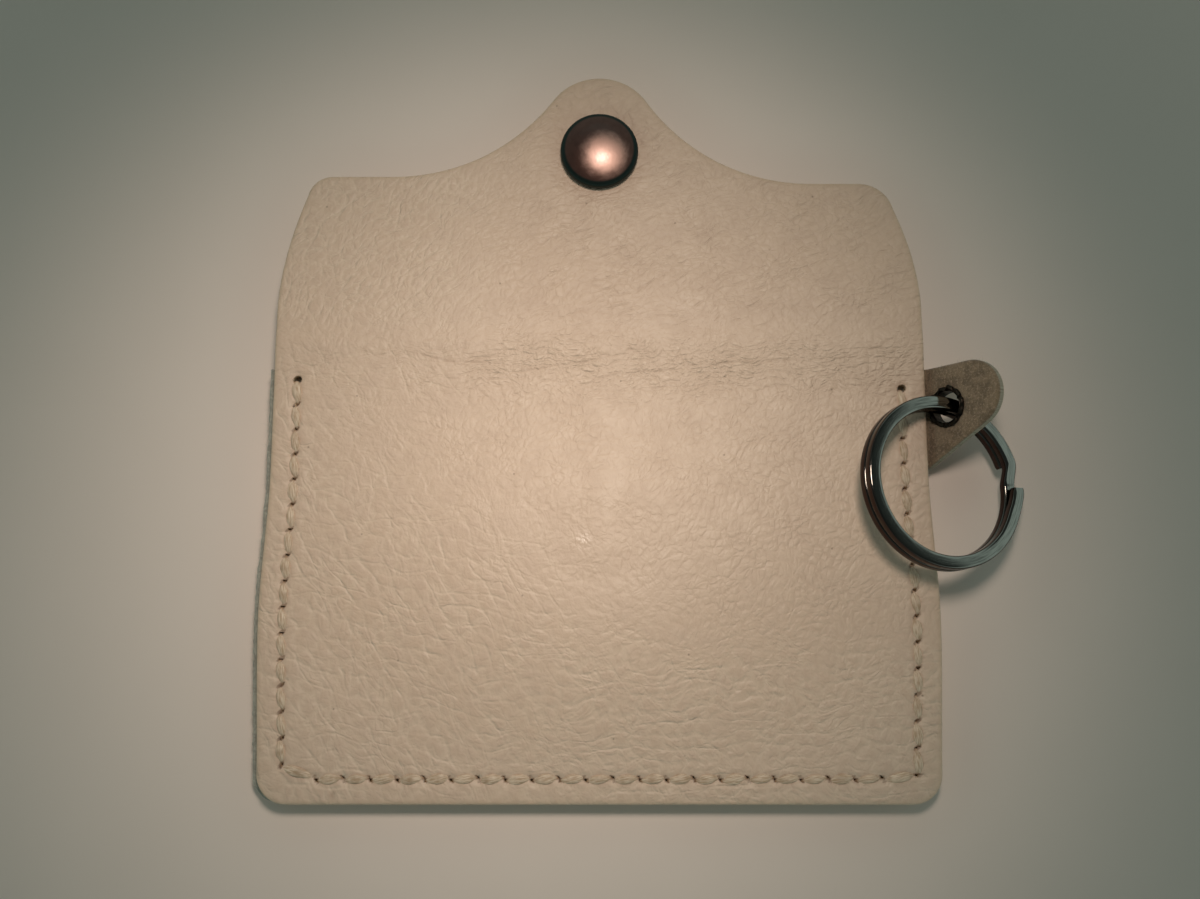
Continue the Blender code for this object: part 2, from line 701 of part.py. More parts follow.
def drilled(name, place, radius, turn, group):
    shape = bmesh.new()
    bmesh.ops.create_cone(shape, cap_ends=True, segments=BORE_STEPS, radius1=radius,
                          radius2=radius, depth=8 * LEATHER,
                          matrix=Matrix.Translation(place) @ turn)
    return add_cutter(name, shape, group)


# Split ring

def ring_directions():
    """The ring's normal, and the two directions in its plane nearest to +X and +Y."""
    normal = Vector((sin(RING_TILT) * cos(RING_TILT_TOWARDS),
                     sin(RING_TILT) * sin(RING_TILT_TOWARDS), cos(RING_TILT)))
    right = Vector((0.0, 1.0, 0.0)).cross(normal).normalized()
    return right, normal.cross(right), normal


def wire_profile(group):
    """The flat wire's rounded section, as a curve that the ring's path carries round."""
    section = bpy.data.curves.new("wire_section", "CURVE")
    section.dimensions = "2D"
    spline = section.splines.new("POLY")
    w = WIRE_WIDTH / 2
    h = WIRE_HEIGHT / 2
    r = WIRE_ROUND
    corners = [(w, h - r), (w - r, h), (r - w, h), (-w, h - r)]
    corners += [(-w, r - h), (r - w, -h), (w - r, -h), (w, r - h)]
    spline.points.add(len(corners) - 1)
    for target, (x, y) in zip(spline.points, reversed(corners)):
        target.co = (x, y, 0.0, 1.0)
    spline.use_cyclic_u = True
    holder = bpy.data.objects.new("wire_section", section)
    group.objects.link(holder)
    holder.hide_render = True
    return holder


def ring_path():
    """Two turns of wire: the upper one steps down through the jog into the lower one."""
    level = (WIRE_HEIGHT + TURN_GAP) / 2
    upper = 2 * pi + RING_START - JOG_START
    total = upper + 2 * pi - RING_END_REST
    steps = ceil(total / RING_STEP)
    stations = {total * i / steps for i in range(steps + 1)}
    stations |= {upper + JOG_SWEEP * i / 4 for i in range(5)}
    points = []
    for swept in sorted(stations):
        angle = RING_START - swept
        height = mix(level, -level, ease((swept - upper) / JOG_SWEEP))
        out = START_SPRING_OUT * (1 - ease(swept / START_SPRING_SWEEP))
        radius = RING_RADIUS + out
        points.append(Vector((radius * cos(angle), radius * sin(angle), height)))
    return points


def split_ring(section, group, carrier):
    line = bpy.data.curves.new("split_ring", "CURVE")
    line.dimensions = "3D"
    line.twist_mode = "Z_UP"
    line.bevel_mode = "OBJECT"
    line.bevel_object = section
    line.use_fill_caps = True
    spline = line.splines.new("POLY")
    points = ring_path()
    spline.points.add(len(points) - 1)
    for target, point in zip(spline.points, points):
        target.co = (*point, 1.0)
    right, ahead, normal = ring_directions()
    eye = Vector(carrier["place"])
    at_eye = right * cos(RING_AT_EYELET) + ahead * sin(RING_AT_EYELET)
    centre = eye - at_eye * RING_RADIUS
    ring = bpy.data.objects.new("split_ring", line)
    group.objects.link(ring)
    line.materials.append(finish(*NICKEL_FINISH))
    ring.parent = carrier
    ring.location = centre - eye
    ring.rotation_euler = Matrix((right, ahead, normal)).transposed().to_euler()
    return ring


# The whole wallet

def build():
    clear_scene()
    parts = new_collection(COLLECTION)
    cutters = new_collection("cutters")
    low_axis = add_axis("fold_low_axis", (0.0, FOLD_LOW_Y, FOLD_Z), parts)
    high_axis = add_axis("fold_high_axis", (0.0, FOLD_HIGH_Y, FOLD_Z), parts, low_axis)
    tab_axis = add_axis("tab_axis", tab_place(0.0, EYELET_Y, -LEATHER / 2)[:], parts)
    eye = tab_place(EYELET_REACH, EYELET_Y, 0.0)
    ring_axis = add_axis("ring_axis", eye[:], parts, tab_axis)

    back_outline = body_outline(FOLD_LOW_Y - SPLIT_GAP / 2)
    back = leather_sheet("back_panel", back_outline, BODY_COLUMNS, BODY_ROWS,
                         lying(back_underside), parts, LEATHER_FINISH)
    front_outline = body_outline(FRONT_TOP_Y, FRONT_PROUD_LEFT)
    front = leather_sheet("front_panel", front_outline, BODY_COLUMNS, BODY_ROWS,
                          lying(front_underside), parts, LEATHER_FINISH)
    spine_half = half_width(FOLD_LOW_Y)
    spine_low = FOLD_LOW_Y + SPLIT_GAP / 2
    spine_high = FOLD_HIGH_Y - SPLIT_GAP / 2
    spine_outline = {
        "bottom": [Vector((-spine_half, spine_low)), Vector((spine_half, spine_low))],
        "top": [Vector((-spine_half, spine_high)), Vector((spine_half, spine_high))],
        "left": [Vector((-spine_half, spine_low)), Vector((-spine_half, spine_high))],
        "right": [Vector((spine_half, spine_low)), Vector((spine_half, spine_high))],
    }
    leather_sheet("fold_spine", spine_outline, SPINE_COLUMNS, SPINE_ROWS,
                  lying(spine_underside), parts, LEATHER_FINISH, low_axis)
    flap = leather_sheet("flap", flap_outline(), FLAP_COLUMNS, FLAP_ROWS,
                         lying(flap_underside), parts, LEATHER_FINISH, high_axis)
    tab = leather_sheet("key_tab", tab_outline(), TAB_COLUMNS, TAB_ROWS,
                        lambda x, y: tab_place(x, y, -LEATHER / 2), parts, SUEDE_FINISH,
                        tab_axis, TAB_CROWDING)

    slits = awl_holes(cutters)
    cut(back, slits, "awl_holes")
    cut(front, slits, "awl_holes")
    upright = Matrix.Identity(4)
    square_to_tab = Matrix.Rotation(-TAB_RISE, 4, "Y")
    stud_hole = drilled("stud_hole", (0.0, 0.0, STUD_SEAT_Z), POST_HOLE_RADIUS, upright, cutters)
    cut(front, stud_hole, "stud_hole")
    snap_seat = SNAP_AT + Vector((0.0, 0.0, FLAP_SEAT_Z))
    cap_hole = drilled("cap_hole", snap_seat, POST_HOLE_RADIUS, upright, cutters)
    cut(flap, cap_hole, "cap_hole")
    eyelet_hole_radius = EYELET_BORE + EYELET_WALL + SEAT_GAP
    eyelet_hole = drilled("eyelet_hole", eye, eyelet_hole_radius, square_to_tab, cutters)
    cut(tab, eyelet_hole, "eyelet_hole")

    tube("saddle_thread_a", stitch_route(1, True), THREAD_RADIUS, 1, parts, THREAD_FINISH)
    tube("saddle_thread_b", stitch_route(-1, False), THREAD_RADIUS, 1, parts, THREAD_FINISH)

    turned("snap_stud", stud_profile(), (0.0, 0.0, 0.0), parts, NICKEL_FINISH)
    turned("stud_post", stud_post_profile(), (0.0, 0.0, POST_FLANGE_Z), parts, NICKEL_FINISH)
    cap_place = SNAP_AT + Vector((0.0, 0.0, CAP_Z))
    turned("snap_cap", cap_profile(), cap_place, parts, NICKEL_FINISH, high_axis)
    turned("cap_post", cap_post_profile(), cap_place, parts, NICKEL_FINISH, high_axis)
    turned("snap_socket", socket_profile(), SNAP_AT, parts, NICKEL_FINISH, high_axis)
    ring_spring = [SNAP_AT + point for point in spring_points()]
    tube("socket_spring", ring_spring, SPRING_WIRE, 1, parts, SPRING_FINISH, high_axis)

    eyelet = turned("tab_eyelet", eyelet_profile(), eye, parts, NICKEL_FINISH, tab_axis)
    eyelet.rotation_euler = (0.0, -TAB_RISE, 0.0)
    split_ring(wire_profile(cutters), parts, ring_axis)


build()
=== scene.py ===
"""Looks of the keychain card wallet: pebbled leather, saddle stitch, snap, eyelet and split ring.

Metres, +Z up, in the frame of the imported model: the origin is the foot of the hidden stud,
+Y runs to the flap's tip and +X to the key tab. The wallet lies open with its back up.
"""

from math import atan2, cos, degrees, pi, radians, sin, sqrt, tan

import bmesh
import bpy
import numpy as np
from mathutils import Matrix, Vector


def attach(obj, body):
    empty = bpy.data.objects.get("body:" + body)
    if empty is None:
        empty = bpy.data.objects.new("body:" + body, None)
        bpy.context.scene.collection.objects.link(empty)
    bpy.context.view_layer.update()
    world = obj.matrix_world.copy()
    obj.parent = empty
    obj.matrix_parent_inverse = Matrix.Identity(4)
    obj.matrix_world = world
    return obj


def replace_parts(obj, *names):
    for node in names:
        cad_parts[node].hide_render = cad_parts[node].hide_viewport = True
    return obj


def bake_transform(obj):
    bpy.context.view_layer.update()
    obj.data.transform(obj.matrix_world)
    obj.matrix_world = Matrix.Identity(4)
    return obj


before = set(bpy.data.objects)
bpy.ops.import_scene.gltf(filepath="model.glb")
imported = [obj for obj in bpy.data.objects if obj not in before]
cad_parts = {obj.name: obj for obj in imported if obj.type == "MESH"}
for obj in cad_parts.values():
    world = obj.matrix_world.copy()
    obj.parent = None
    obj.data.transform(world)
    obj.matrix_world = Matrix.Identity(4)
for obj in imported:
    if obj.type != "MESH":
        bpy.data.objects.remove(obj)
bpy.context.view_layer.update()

# Leather and clearances
LEATHER = 0.0015
SEAT_GAP = 0.0001
SEAM_GAP = 0.00015
SPLIT_GAP = 0.0003

# Outline of the folded body
SNAP_SPAN = 0.0635
SPINE_WIDTH = 0.0064
BOTTOM_Y = -0.0382
BELLY_Y = -0.0110
BELLY_HALF_WIDTH = 0.0517
FOOT_HALF_WIDTH = 0.0509
MOUTH_HALF_WIDTH = 0.0507
BOTTOM_CORNER = 0.0045
FRONT_PROUD_LEFT = 0.0009
MOUTH_DROP = 0.0006
FOLD_LOW_Y = (SNAP_SPAN - SPINE_WIDTH) / 2
FOLD_HIGH_Y = (SNAP_SPAN + SPINE_WIDTH) / 2
FOLD_MIDDLE_Y = SNAP_SPAN / 2
FRONT_TOP_Y = FOLD_LOW_Y - MOUTH_DROP

# Outline of the flap
TAPER_Y = FOLD_HIGH_Y + 0.00355
SHOULDER_HALF_WIDTH = 0.0462
TAPER_BULGE = 0.0007
LEFT_SHOULDER_Y = SNAP_SPAN - 0.0037
RIGHT_SHOULDER_Y = SNAP_SPAN - 0.0049
LEFT_SHOULDER_RADIUS = 0.0040
RIGHT_SHOULDER_RADIUS = 0.0055
TIP_RADIUS = 0.0092
TIP_ABOVE_SNAP = 0.0040
SWEEP_RADIUS = 0.0320

# How the sheets lie
HEM_STAND = 0.0008
STUD_STAND = 0.0033
SOCKET_STAND = 0.0033
SNAP_ENGAGE = 0.0017
STUD_POST_FLANGE = 0.0005
SHOULDER_LIFT = 0.0030
SPINE_HUMP = 0.00018
CROWN_CORE = 0.20
POCKET_EASE = 0.0180
FLAP_SEAT_RADIUS = 0.0065
FLAP_SEAT_EASE = 0.0150
FOLD_Z = (SPINE_WIDTH + SNAP_ENGAGE) / 2
HEM_Z = HEM_STAND + LEATHER + SEAM_GAP
STUD_SEAT_Z = STUD_STAND + SEAT_GAP
POST_FLANGE_Z = STUD_SEAT_Z + LEATHER + SEAT_GAP
CROWN_Z = POST_FLANGE_Z + STUD_POST_FLANGE + SPLIT_GAP
POCKET_GAP = CROWN_Z - STUD_SEAT_Z - LEATHER
FLAP_SEAT_Z = SOCKET_STAND + SEAT_GAP
CAP_Z = FLAP_SEAT_Z + LEATHER + SEAT_GAP

# Saddle stitch
STITCH_INSET = 0.0037
SIDE_PITCH = 0.0039
BOTTOM_PITCH = 0.0040
LEFT_FIRST_BELOW_FOLD = 0.00265
LEFT_LAST_ABOVE_BOTTOM = 0.00575
RIGHT_FIRST_ABOVE_BOTTOM = 0.00435
RIGHT_LAST_BELOW_FOLD = 0.00405
BOTTOM_ROW_INSET = 0.0052
THREAD_SIDE = 0.00034
THREAD_HALF_WIDTH = 0.00032
THREAD_HALF_THICK = 0.00022
THREAD_TURNS_PER_MM = 0.30
STRAND_HALF_WIDTH = 0.00068
STRAND_HALF_THICK = 0.00032
STRAND_DIP = 0.00095
STRAND_RISE_OVER = 0.00093
STRAND_RISE_UNDER = 0.00083
PASS_INSET = 0.0011
HOLE_HALF_LENGTH = 0.00070
HOLE_HALF_BREADTH = 0.00031
END_HOLE_HALF_BREADTH = 0.00060
SLIT_SLANT = radians(38.0)

# How the leather is pressed, pierced and worn
GROOVE_HALF_WIDTH = 0.0011
GROOVE_DEPTH = 0.00018
FRONT_GROOVE_DEPTH = 0.00016
HOLE_SINK = 0.00016
CUT_EDGE_WIDTH = 0.0011
POST_HOLE_RADIUS = 0.0015
NICK_AT = (-0.0394, -0.0369)
NICK_HALF_SIZES = (0.0005, 0.0009)
NICK_DEPTH = 0.00022

# Key tab and eyelet
TAB_ROOT_Y = FRONT_TOP_Y - 0.01595
EYELET_Y = FRONT_TOP_Y - 0.00665
TAB_X = MOUTH_HALF_WIDTH + SPLIT_GAP
TAB_LENGTH = 0.01385
TAB_END_RADIUS = 0.0053
TAB_BEND_RADIUS = 0.0013
TAB_RISE = radians(52.0)
EYELET_REACH = 0.0045
EYELET_BORE = 0.00245
EYELET_WALL = 0.0003
EYELET_ROLL_RADIUS = 0.00325
EYELET_FLANGE_RADIUS = 0.0036

# Snap cap
CAP_RADIUS = 0.00625
CAP_HEIGHT = 0.0030
CAP_DOME_RADIUS = 0.0120
CAP_SHOULDER = 0.0008
CAP_LIP = 0.0004

# Split ring
RING_RADIUS = 0.01238
WIRE_WIDTH = 0.0020
WIRE_HEIGHT = 0.00145
WIRE_ROUND = 0.00035
TURN_GAP = 0.00012
RING_TILT = radians(20.0)
RING_TILT_TOWARDS = radians(15.0)
RING_AT_EYELET = radians(77.0)
RING_START = radians(-2.0)
JOG_START = radians(17.0)
JOG_SWEEP = radians(17.0)
RING_END_PAST = radians(2.5)
START_SPRING_OUT = 0.0005
START_SPRING_SWEEP = radians(22.0)
WIRE_CROWN = 0.000012

# Surface grid of the leather and the fineness of the turned pieces
CELL = 0.00032
FOLD_CELL = 0.00018
FINE_BELOW_FOLD = 0.0100
FINE_ABOVE_FOLD = 0.0030
TAB_MEAN_BREADTH = 0.0125
STITCH_STATIONS = 21
PASS_STATIONS = 5
THREAD_STEPS = 24
TURNED_STEPS = 96

# Where the hide has creased over the fold: the band's middle and half height, in millimetres
FOLD_BAND = (28.0, 4.6)

# Single creases, in millimetres: their courses, their depths and half widths. A rise is a
# negative depth.
CREASES = (
    (((-27.5, 29.9), (-23.1, 28.8), (-15.3, 28.5), (-11.1, 27.4), (-6.3, 28.2)), 0.07, 0.22),
    (((-13.5, 27.1), (-5.8, 28.2), (0.9, 29.5), (6.5, 31.0)), 0.07, 0.22),
    (((0.3, 26.5), (9.8, 27.4), (15.8, 28.5), (23.6, 28.8), (35.6, 29.0), (44.0, 31.0)),
     0.06, 0.24),
    (((-20.0, 25.6), (-12.0, 26.6), (-4.0, 25.4)), 0.04, 0.22),
    (((8.0, 24.6), (19.0, 25.2), (31.0, 24.4)), 0.04, 0.24),
    (((-35.5, 37.5), (-33.0, 34.5), (-29.7, 28.8), (-26.9, 24.9)), -0.04, 0.34),
    (((-26.8, 31.5), (-25.8, 29.5), (-19.1, 21.5)), -0.035, 0.34),
    (((-28.1, 31.1), (-25.9, 27.6), (-25.3, 24.9)), -0.03, 0.30),
    (((-23.1, 31.4), (-21.7, 29.9), (-18.6, 26.5)), -0.03, 0.30),
    (((-20.0, 31.1), (-18.6, 29.4)), -0.025, 0.28),
    (((-16.9, 31.0), (-15.6, 29.9)), -0.025, 0.28),
    (((-33.7, 30.4), (-32.8, 28.8)), -0.03, 0.30),
    (((-23.4, 23.4), (-22.2, 21.8)), -0.025, 0.28),
    (((-40.8, -2.6), (-35.0, -11.0), (-29.0, -20.5), (-25.0, -28.7)), 0.025, 0.30),
)


# Small helpers

def ease(value):
    value = np.clip(value, 0.0, 1.0)
    return value * value * (3.0 - 2.0 * value)


def mix(low, high, share):
    return low + (high - low) * share


def colour(code):
    """An sRGB hex colour as linear values."""
    parts = [int(code[i:i + 2], 16) / 255 for i in (0, 2, 4)]
    linear = [p / 12.92 if p <= 0.04045 else ((p + 0.055) / 1.055) ** 2.4 for p in parts]
    return (*linear, 1.0)


def unit(vectors):
    return vectors / np.linalg.norm(vectors, axis=1)[:, None]


def reached(centres):
    """How far along a line each of its points is."""
    legs = np.linalg.norm(np.diff(centres, axis=0), axis=1)
    return np.concatenate([[0.0], np.cumsum(legs)])


def placed(name, data):
    """A new object in the scene."""
    thing = bpy.data.objects.new(name, data)
    bpy.context.scene.collection.objects.link(thing)
    return thing


def new_mesh(name, points, faces, finishes, smooth=True):
    mesh = bpy.data.meshes.new(name)
    mesh.from_pydata(points, [], faces)
    mesh.polygons.foreach_set("use_smooth", np.full(len(faces), smooth))
    for look in finishes:
        mesh.materials.append(look)
    return mesh


def face_outwards(mesh, weld=False):
    """Turns every face's front outwards, and first welds the points that meet."""
    shape = bmesh.new()
    shape.from_mesh(mesh)
    if weld:
        bmesh.ops.remove_doubles(shape, verts=shape.verts, dist=1e-7)
        bmesh.ops.dissolve_degenerate(shape, dist=1e-8, edges=shape.edges)
    bmesh.ops.recalc_face_normals(shape, faces=shape.faces)
    shape.to_mesh(mesh)
    shape.free()


# Random fields over the hide, in millimetres

def drift(x, y, size, seed):
    """Smooth noise between -1 and 1 with lumps of the given size."""
    rng = np.random.default_rng(seed)
    lattice = rng.uniform(-1.0, 1.0, (256, 256))
    u = x / size + 91.3
    v = y / size + 57.7
    i = np.floor(u).astype(int)
    j = np.floor(v).astype(int)
    s = ease(u - i)
    t = ease(v - j)
    corner = [[lattice[(i + a) % 256, (j + b) % 256] for b in (0, 1)] for a in (0, 1)]
    near = mix(corner[0][0], corner[0][1], t)
    far = mix(corner[1][0], corner[1][1], t)
    return mix(near, far, s)


def layered(x, y, size, seed, layers=3):
    total = sum(0.5 ** k * drift(x, y, size * 0.5 ** k, seed + k) for k in range(layers))
    return total / sum(0.5 ** k for k in range(layers))


# Outlines, as lines of points

def half_width(y):
    low = mix(BELLY_HALF_WIDTH, FOOT_HALF_WIDTH, ease((BELLY_Y - y) / (BELLY_Y - BOTTOM_Y)))
    high = mix(BELLY_HALF_WIDTH, MOUTH_HALF_WIDTH, ease((y - BELLY_Y) / (TAB_ROOT_Y - BELLY_Y)))
    return np.where(y < BELLY_Y, low, high)


def fillet(before, corner, after, radius, steps=16):
    back = (before - corner) / np.linalg.norm(before - corner)
    ahead = (after - corner) / np.linalg.norm(after - corner)
    half_angle = np.arccos(np.clip(back @ ahead, -1, 1)) / 2
    middle = (back + ahead) / np.linalg.norm(back + ahead)
    centre = corner + middle * radius / sin(half_angle)
    first = corner + back * radius / tan(half_angle) - centre
    last = corner + ahead * radius / tan(half_angle) - centre
    start = np.arctan2(first[1], first[0])
    sweep = (np.arctan2(last[1], last[0]) - start + pi) % (2 * pi) - pi
    angles = start + sweep * np.linspace(0, 1, steps + 1)
    return centre + radius * np.stack([np.cos(angles), np.sin(angles)], 1)


def along_line(points, shares):
    """Points at the given shares of a line's length."""
    points = np.asarray(points, float)
    legs = np.hypot(*np.diff(points, axis=0).T)
    reached = np.concatenate([[0.0], np.cumsum(legs)]) / legs.sum()
    return np.stack([np.interp(shares, reached, points[:, k]) for k in (0, 1)], 1)


def body_outline(top_y, left_extra=0.0):
    def side(sign, extra):
        heights = np.linspace(BOTTOM_Y + BOTTOM_CORNER, top_y, 60)
        return np.stack([sign * (half_width(heights) + extra), heights], 1)

    left = side(-1, left_extra)
    right = side(1, 0.0)
    low_left = np.array([left[0, 0], BOTTOM_Y])
    low_right = np.array([right[0, 0], BOTTOM_Y])
    round_left = fillet(left[0], low_left, low_right, BOTTOM_CORNER)
    round_right = fillet(right[0], low_right, low_left, BOTTOM_CORNER)
    middle = len(round_left) // 2
    return {
        "bottom": np.vstack([round_left[middle:], round_right[middle:][::-1]]),
        "top": np.vstack([left[-1:], right[-1:]]),
        "left": np.vstack([round_left[:middle + 1][::-1], left[1:]]),
        "right": np.vstack([round_right[:middle + 1][::-1], right[1:]]),
    }


def sweep_and_tip(sign, shoulder_y):
    tip = np.array([0.0, SNAP_SPAN + TIP_ABOVE_SNAP])
    drop = tip[1] - shoulder_y
    reach = sqrt((SWEEP_RADIUS + TIP_RADIUS) ** 2 - (SWEEP_RADIUS - drop) ** 2)
    hollow = np.array([sign * reach, shoulder_y + SWEEP_RADIUS])
    meet = np.arctan2(hollow[1] - tip[1], reach)
    down = np.linspace(-pi / 2, -pi + meet, 30)
    over = np.linspace(meet, pi / 2, 40)[1:]
    low = hollow + SWEEP_RADIUS * np.stack([sign * np.cos(down), np.sin(down)], 1)
    high = tip + TIP_RADIUS * np.stack([sign * np.cos(over), np.sin(over)], 1)
    return np.vstack([low, high])


def flap_side(sign, shoulder_y, radius):
    """One side of the flap up to the middle of its shoulder, and the shoulder's upper half."""
    waist = np.array([sign * MOUTH_HALF_WIDTH, TAPER_Y])
    corner = np.array([sign * SHOULDER_HALF_WIDTH, shoulder_y])
    arc = fillet(waist, corner, np.array([0.0, shoulder_y]), radius)
    share = np.linspace(0, 1, 30)
    taper = waist + (arc[0] - waist) * share[:, None]
    taper[:, 0] += sign * TAPER_BULGE * 4 * share * (1 - share)
    middle = len(arc) // 2
    root = np.array([[sign * MOUTH_HALF_WIDTH, FOLD_MIDDLE_Y]])
    return np.vstack([root, taper, arc[1:middle + 1]]), arc[middle:]


def flap_outline():
    left, left_upper = flap_side(-1, LEFT_SHOULDER_Y, LEFT_SHOULDER_RADIUS)
    right, right_upper = flap_side(1, RIGHT_SHOULDER_Y, RIGHT_SHOULDER_RADIUS)
    over_left = sweep_and_tip(-1, LEFT_SHOULDER_Y)
    over_right = sweep_and_tip(1, RIGHT_SHOULDER_Y)
    top = np.vstack([left_upper, over_left, over_right[::-1][1:], right_upper[::-1]])
    return {"bottom": np.vstack([left[:1], right[:1]]), "top": top, "left": left, "right": right}


def tab_outline():
    """The tab laid flat, from the front panel's edge."""
    centre = np.array([TAB_LENGTH - TAB_END_RADIUS, FRONT_TOP_Y - TAB_END_RADIUS])
    start = -SPLIT_GAP
    back = np.array([0.0, TAB_ROOT_Y]) - centre
    tangent = np.arctan2(back[1], back[0]) + np.arccos(TAB_END_RADIUS / np.hypot(*back))
    angles = np.linspace(pi / 2, tangent, 49)
    arc = centre + TAB_END_RADIUS * np.stack([np.cos(angles), np.sin(angles)], 1)
    low = np.array([[start, TAB_ROOT_Y], [0.0, TAB_ROOT_Y]])
    high = np.array([[start, FRONT_TOP_Y], [0.0, FRONT_TOP_Y]])
    return {
        "bottom": np.vstack([low, arc[32:][::-1]]),
        "top": np.vstack([high, arc[:17]]),
        "left": np.vstack([low[:1], high[:1]]),
        "right": arc[16:33][::-1],
    }


# How the sheets lie

def seam_height(y):
    return mix(HEM_Z, FOLD_Z, (y - BOTTOM_Y) / (FOLD_LOW_Y - BOTTOM_Y))


def back_underside(x, y):
    reach_y = np.where(y > 0, FOLD_LOW_Y, -BOTTOM_Y)
    away = np.hypot(x / (BELLY_HALF_WIDTH - STITCH_INSET), y / reach_y)
    return mix(CROWN_Z, seam_height(y), ease((away - CROWN_CORE) / (1 - CROWN_CORE)))


def pocket_gap(x, y):
    from_side = (BELLY_HALF_WIDTH - STITCH_INSET - np.abs(x)) / POCKET_EASE
    from_bottom = (y - BOTTOM_Y - STITCH_INSET) / POCKET_EASE
    return mix(SEAM_GAP, POCKET_GAP, ease(from_side) * ease(from_bottom))


def front_underside(x, y):
    return back_underside(x, y) - pocket_gap(x, y) - LEATHER


def spine_underside(y):
    across = (y - FOLD_LOW_Y) / SPINE_WIDTH
    return FOLD_Z + SPINE_HUMP * np.sin(pi * across) ** 2


def flap_underside(x, y):
    share = (y - FOLD_HIGH_Y) / (RIGHT_SHOULDER_Y - FOLD_HIGH_Y)
    slope = mix(FOLD_Z, SHOULDER_LIFT, ease(share))
    away = (np.hypot(x, y - SNAP_SPAN) - FLAP_SEAT_RADIUS) / FLAP_SEAT_EASE
    return mix(FLAP_SEAT_Z, slope, ease(away))


def hide_underside(x, y):
    """The back panel, the fold and the flap are one hide."""
    low = back_underside(x, np.minimum(y, FOLD_LOW_Y))
    middle = spine_underside(np.clip(y, FOLD_LOW_Y, FOLD_HIGH_Y))
    high = flap_underside(x, np.maximum(y, FOLD_HIGH_Y))
    return np.where(y < FOLD_LOW_Y, low, np.where(y < FOLD_HIGH_Y, middle, high))


def tab_place(along, y, above):
    """A point of the tab: it leaves the panel level, bends up and then runs straight."""
    root_z = front_underside(MOUTH_HALF_WIDTH, EYELET_Y) + LEATHER / 2
    shift = front_underside(MOUTH_HALF_WIDTH, y) + LEATHER / 2 - root_z
    bend = TAB_BEND_RADIUS * TAB_RISE
    angle = np.clip(along / TAB_BEND_RADIUS, 0.0, TAB_RISE)
    straight = np.maximum(along - bend, 0.0)
    x = TAB_X + np.minimum(along, 0.0) + TAB_BEND_RADIUS * np.sin(angle)
    x = x + straight * cos(TAB_RISE)
    z = root_z + TAB_BEND_RADIUS * (1 - np.cos(angle)) + straight * sin(TAB_RISE)
    z = z + shift * (1 - ease((along + SPLIT_GAP) / 0.004))
    return np.stack([x - above * np.sin(angle), y, z + above * np.cos(angle)], -1)


# Stitch holes

def pricked(first, last, pitch):
    gaps = max(1, round(abs(last - first) / pitch))
    return [mix(first, last, i / gaps) for i in range(gaps + 1)]


def stitch_places():
    """Centre and direction of each awl hole, down the left side, along and up the right."""
    left = pricked(FOLD_LOW_Y - LEFT_FIRST_BELOW_FOLD, BOTTOM_Y + LEFT_LAST_ABOVE_BOTTOM,
                   SIDE_PITCH)
    right = pricked(BOTTOM_Y + RIGHT_FIRST_ABOVE_BOTTOM, FOLD_LOW_Y - RIGHT_LAST_BELOW_FOLD,
                    SIDE_PITCH)
    reach = FOOT_HALF_WIDTH - STITCH_INSET - BOTTOM_ROW_INSET
    along = pricked(-reach, reach, BOTTOM_PITCH)
    places = [(STITCH_INSET - float(half_width(y)), y) for y in left]
    places += [(x, BOTTOM_Y + STITCH_INSET) for x in along]
    places += [(float(half_width(y)) - STITCH_INSET, y) for y in right]
    places = np.array(places)
    legs = np.diff(places, axis=0)
    legs /= np.hypot(*legs.T)[:, None]
    way = np.vstack([legs[:1], legs[:-1] + legs[1:], legs[-1:]])
    way /= np.hypot(*way.T)[:, None]
    return places, way


HOLES, HOLE_WAYS = stitch_places()

# The iron pricks slanted slits: each slit's long axis leans back from square to the seam.
SLITS = (np.stack([-HOLE_WAYS[:, 1], HOLE_WAYS[:, 0]], 1) * cos(SLIT_SLANT)
         - HOLE_WAYS * sin(SLIT_SLANT))

# The first and the last hole take the thread twice, which has stretched them.
HOLE_HALF_BREADTHS = np.full(len(HOLES), HOLE_HALF_BREADTH)
HOLE_HALF_BREADTHS[[0, -1]] = END_HOLE_HALF_BREADTH


def slit_shares(x, y, hole):
    """A point's place along and across a slit, in shares of the slit's half sizes."""
    (cx, cy), (sx, sy) = HOLES[hole], SLITS[hole]
    ahead = ((x - cx) * sx + (y - cy) * sy) / HOLE_HALF_LENGTH
    aside = ((y - cy) * sx - (x - cx) * sy) / HOLE_HALF_BREADTHS[hole]
    return ahead, aside


def hole_reach(x, y):
    """How far a point is from the nearest awl hole, where 1 is the hole's edge."""
    nearest = np.full(np.shape(x), 99.0)
    for hole, (cx, cy) in enumerate(HOLES):
        close = (np.abs(x - cx) < 0.003) & (np.abs(y - cy) < 0.003)
        reach = np.hypot(*slit_shares(x, y, hole))
        nearest = np.where(close, np.minimum(nearest, reach), nearest)
    return nearest


def hole_shade(reach):
    """The painted shade of an awl hole, on the leather in it and at its edge."""
    return 1 - ease((reach - 0.75) / 0.55)


def from_line(x, y, line):
    """Least distance from a line of points."""
    shortest = np.full(x.shape, 99.0)
    for (ax, ay), (bx, by) in zip(line, line[1:]):
        length = np.hypot(bx - ax, by - ay)
        if length < 1e-9:
            continue
        ux, uy = (bx - ax) / length, (by - ay) / length
        ahead = np.clip((x - ax) * ux + (y - ay) * uy, 0, length)
        shortest = np.minimum(shortest, np.hypot(x - ax - ahead * ux, y - ay - ahead * uy))
    return shortest


def seam_groove(x, y):
    """Depth share of the line that the tight stitches press into the leather."""
    return 1 - ease(from_line(x, y, HOLES) / GROOVE_HALF_WIDTH)


# The grain side's relief, in metres, with shares that drive its finish

GRAIN_ZONES = ("open_grain", "level_grain", "even_grain", "flap_left_grain", "flap_grain")


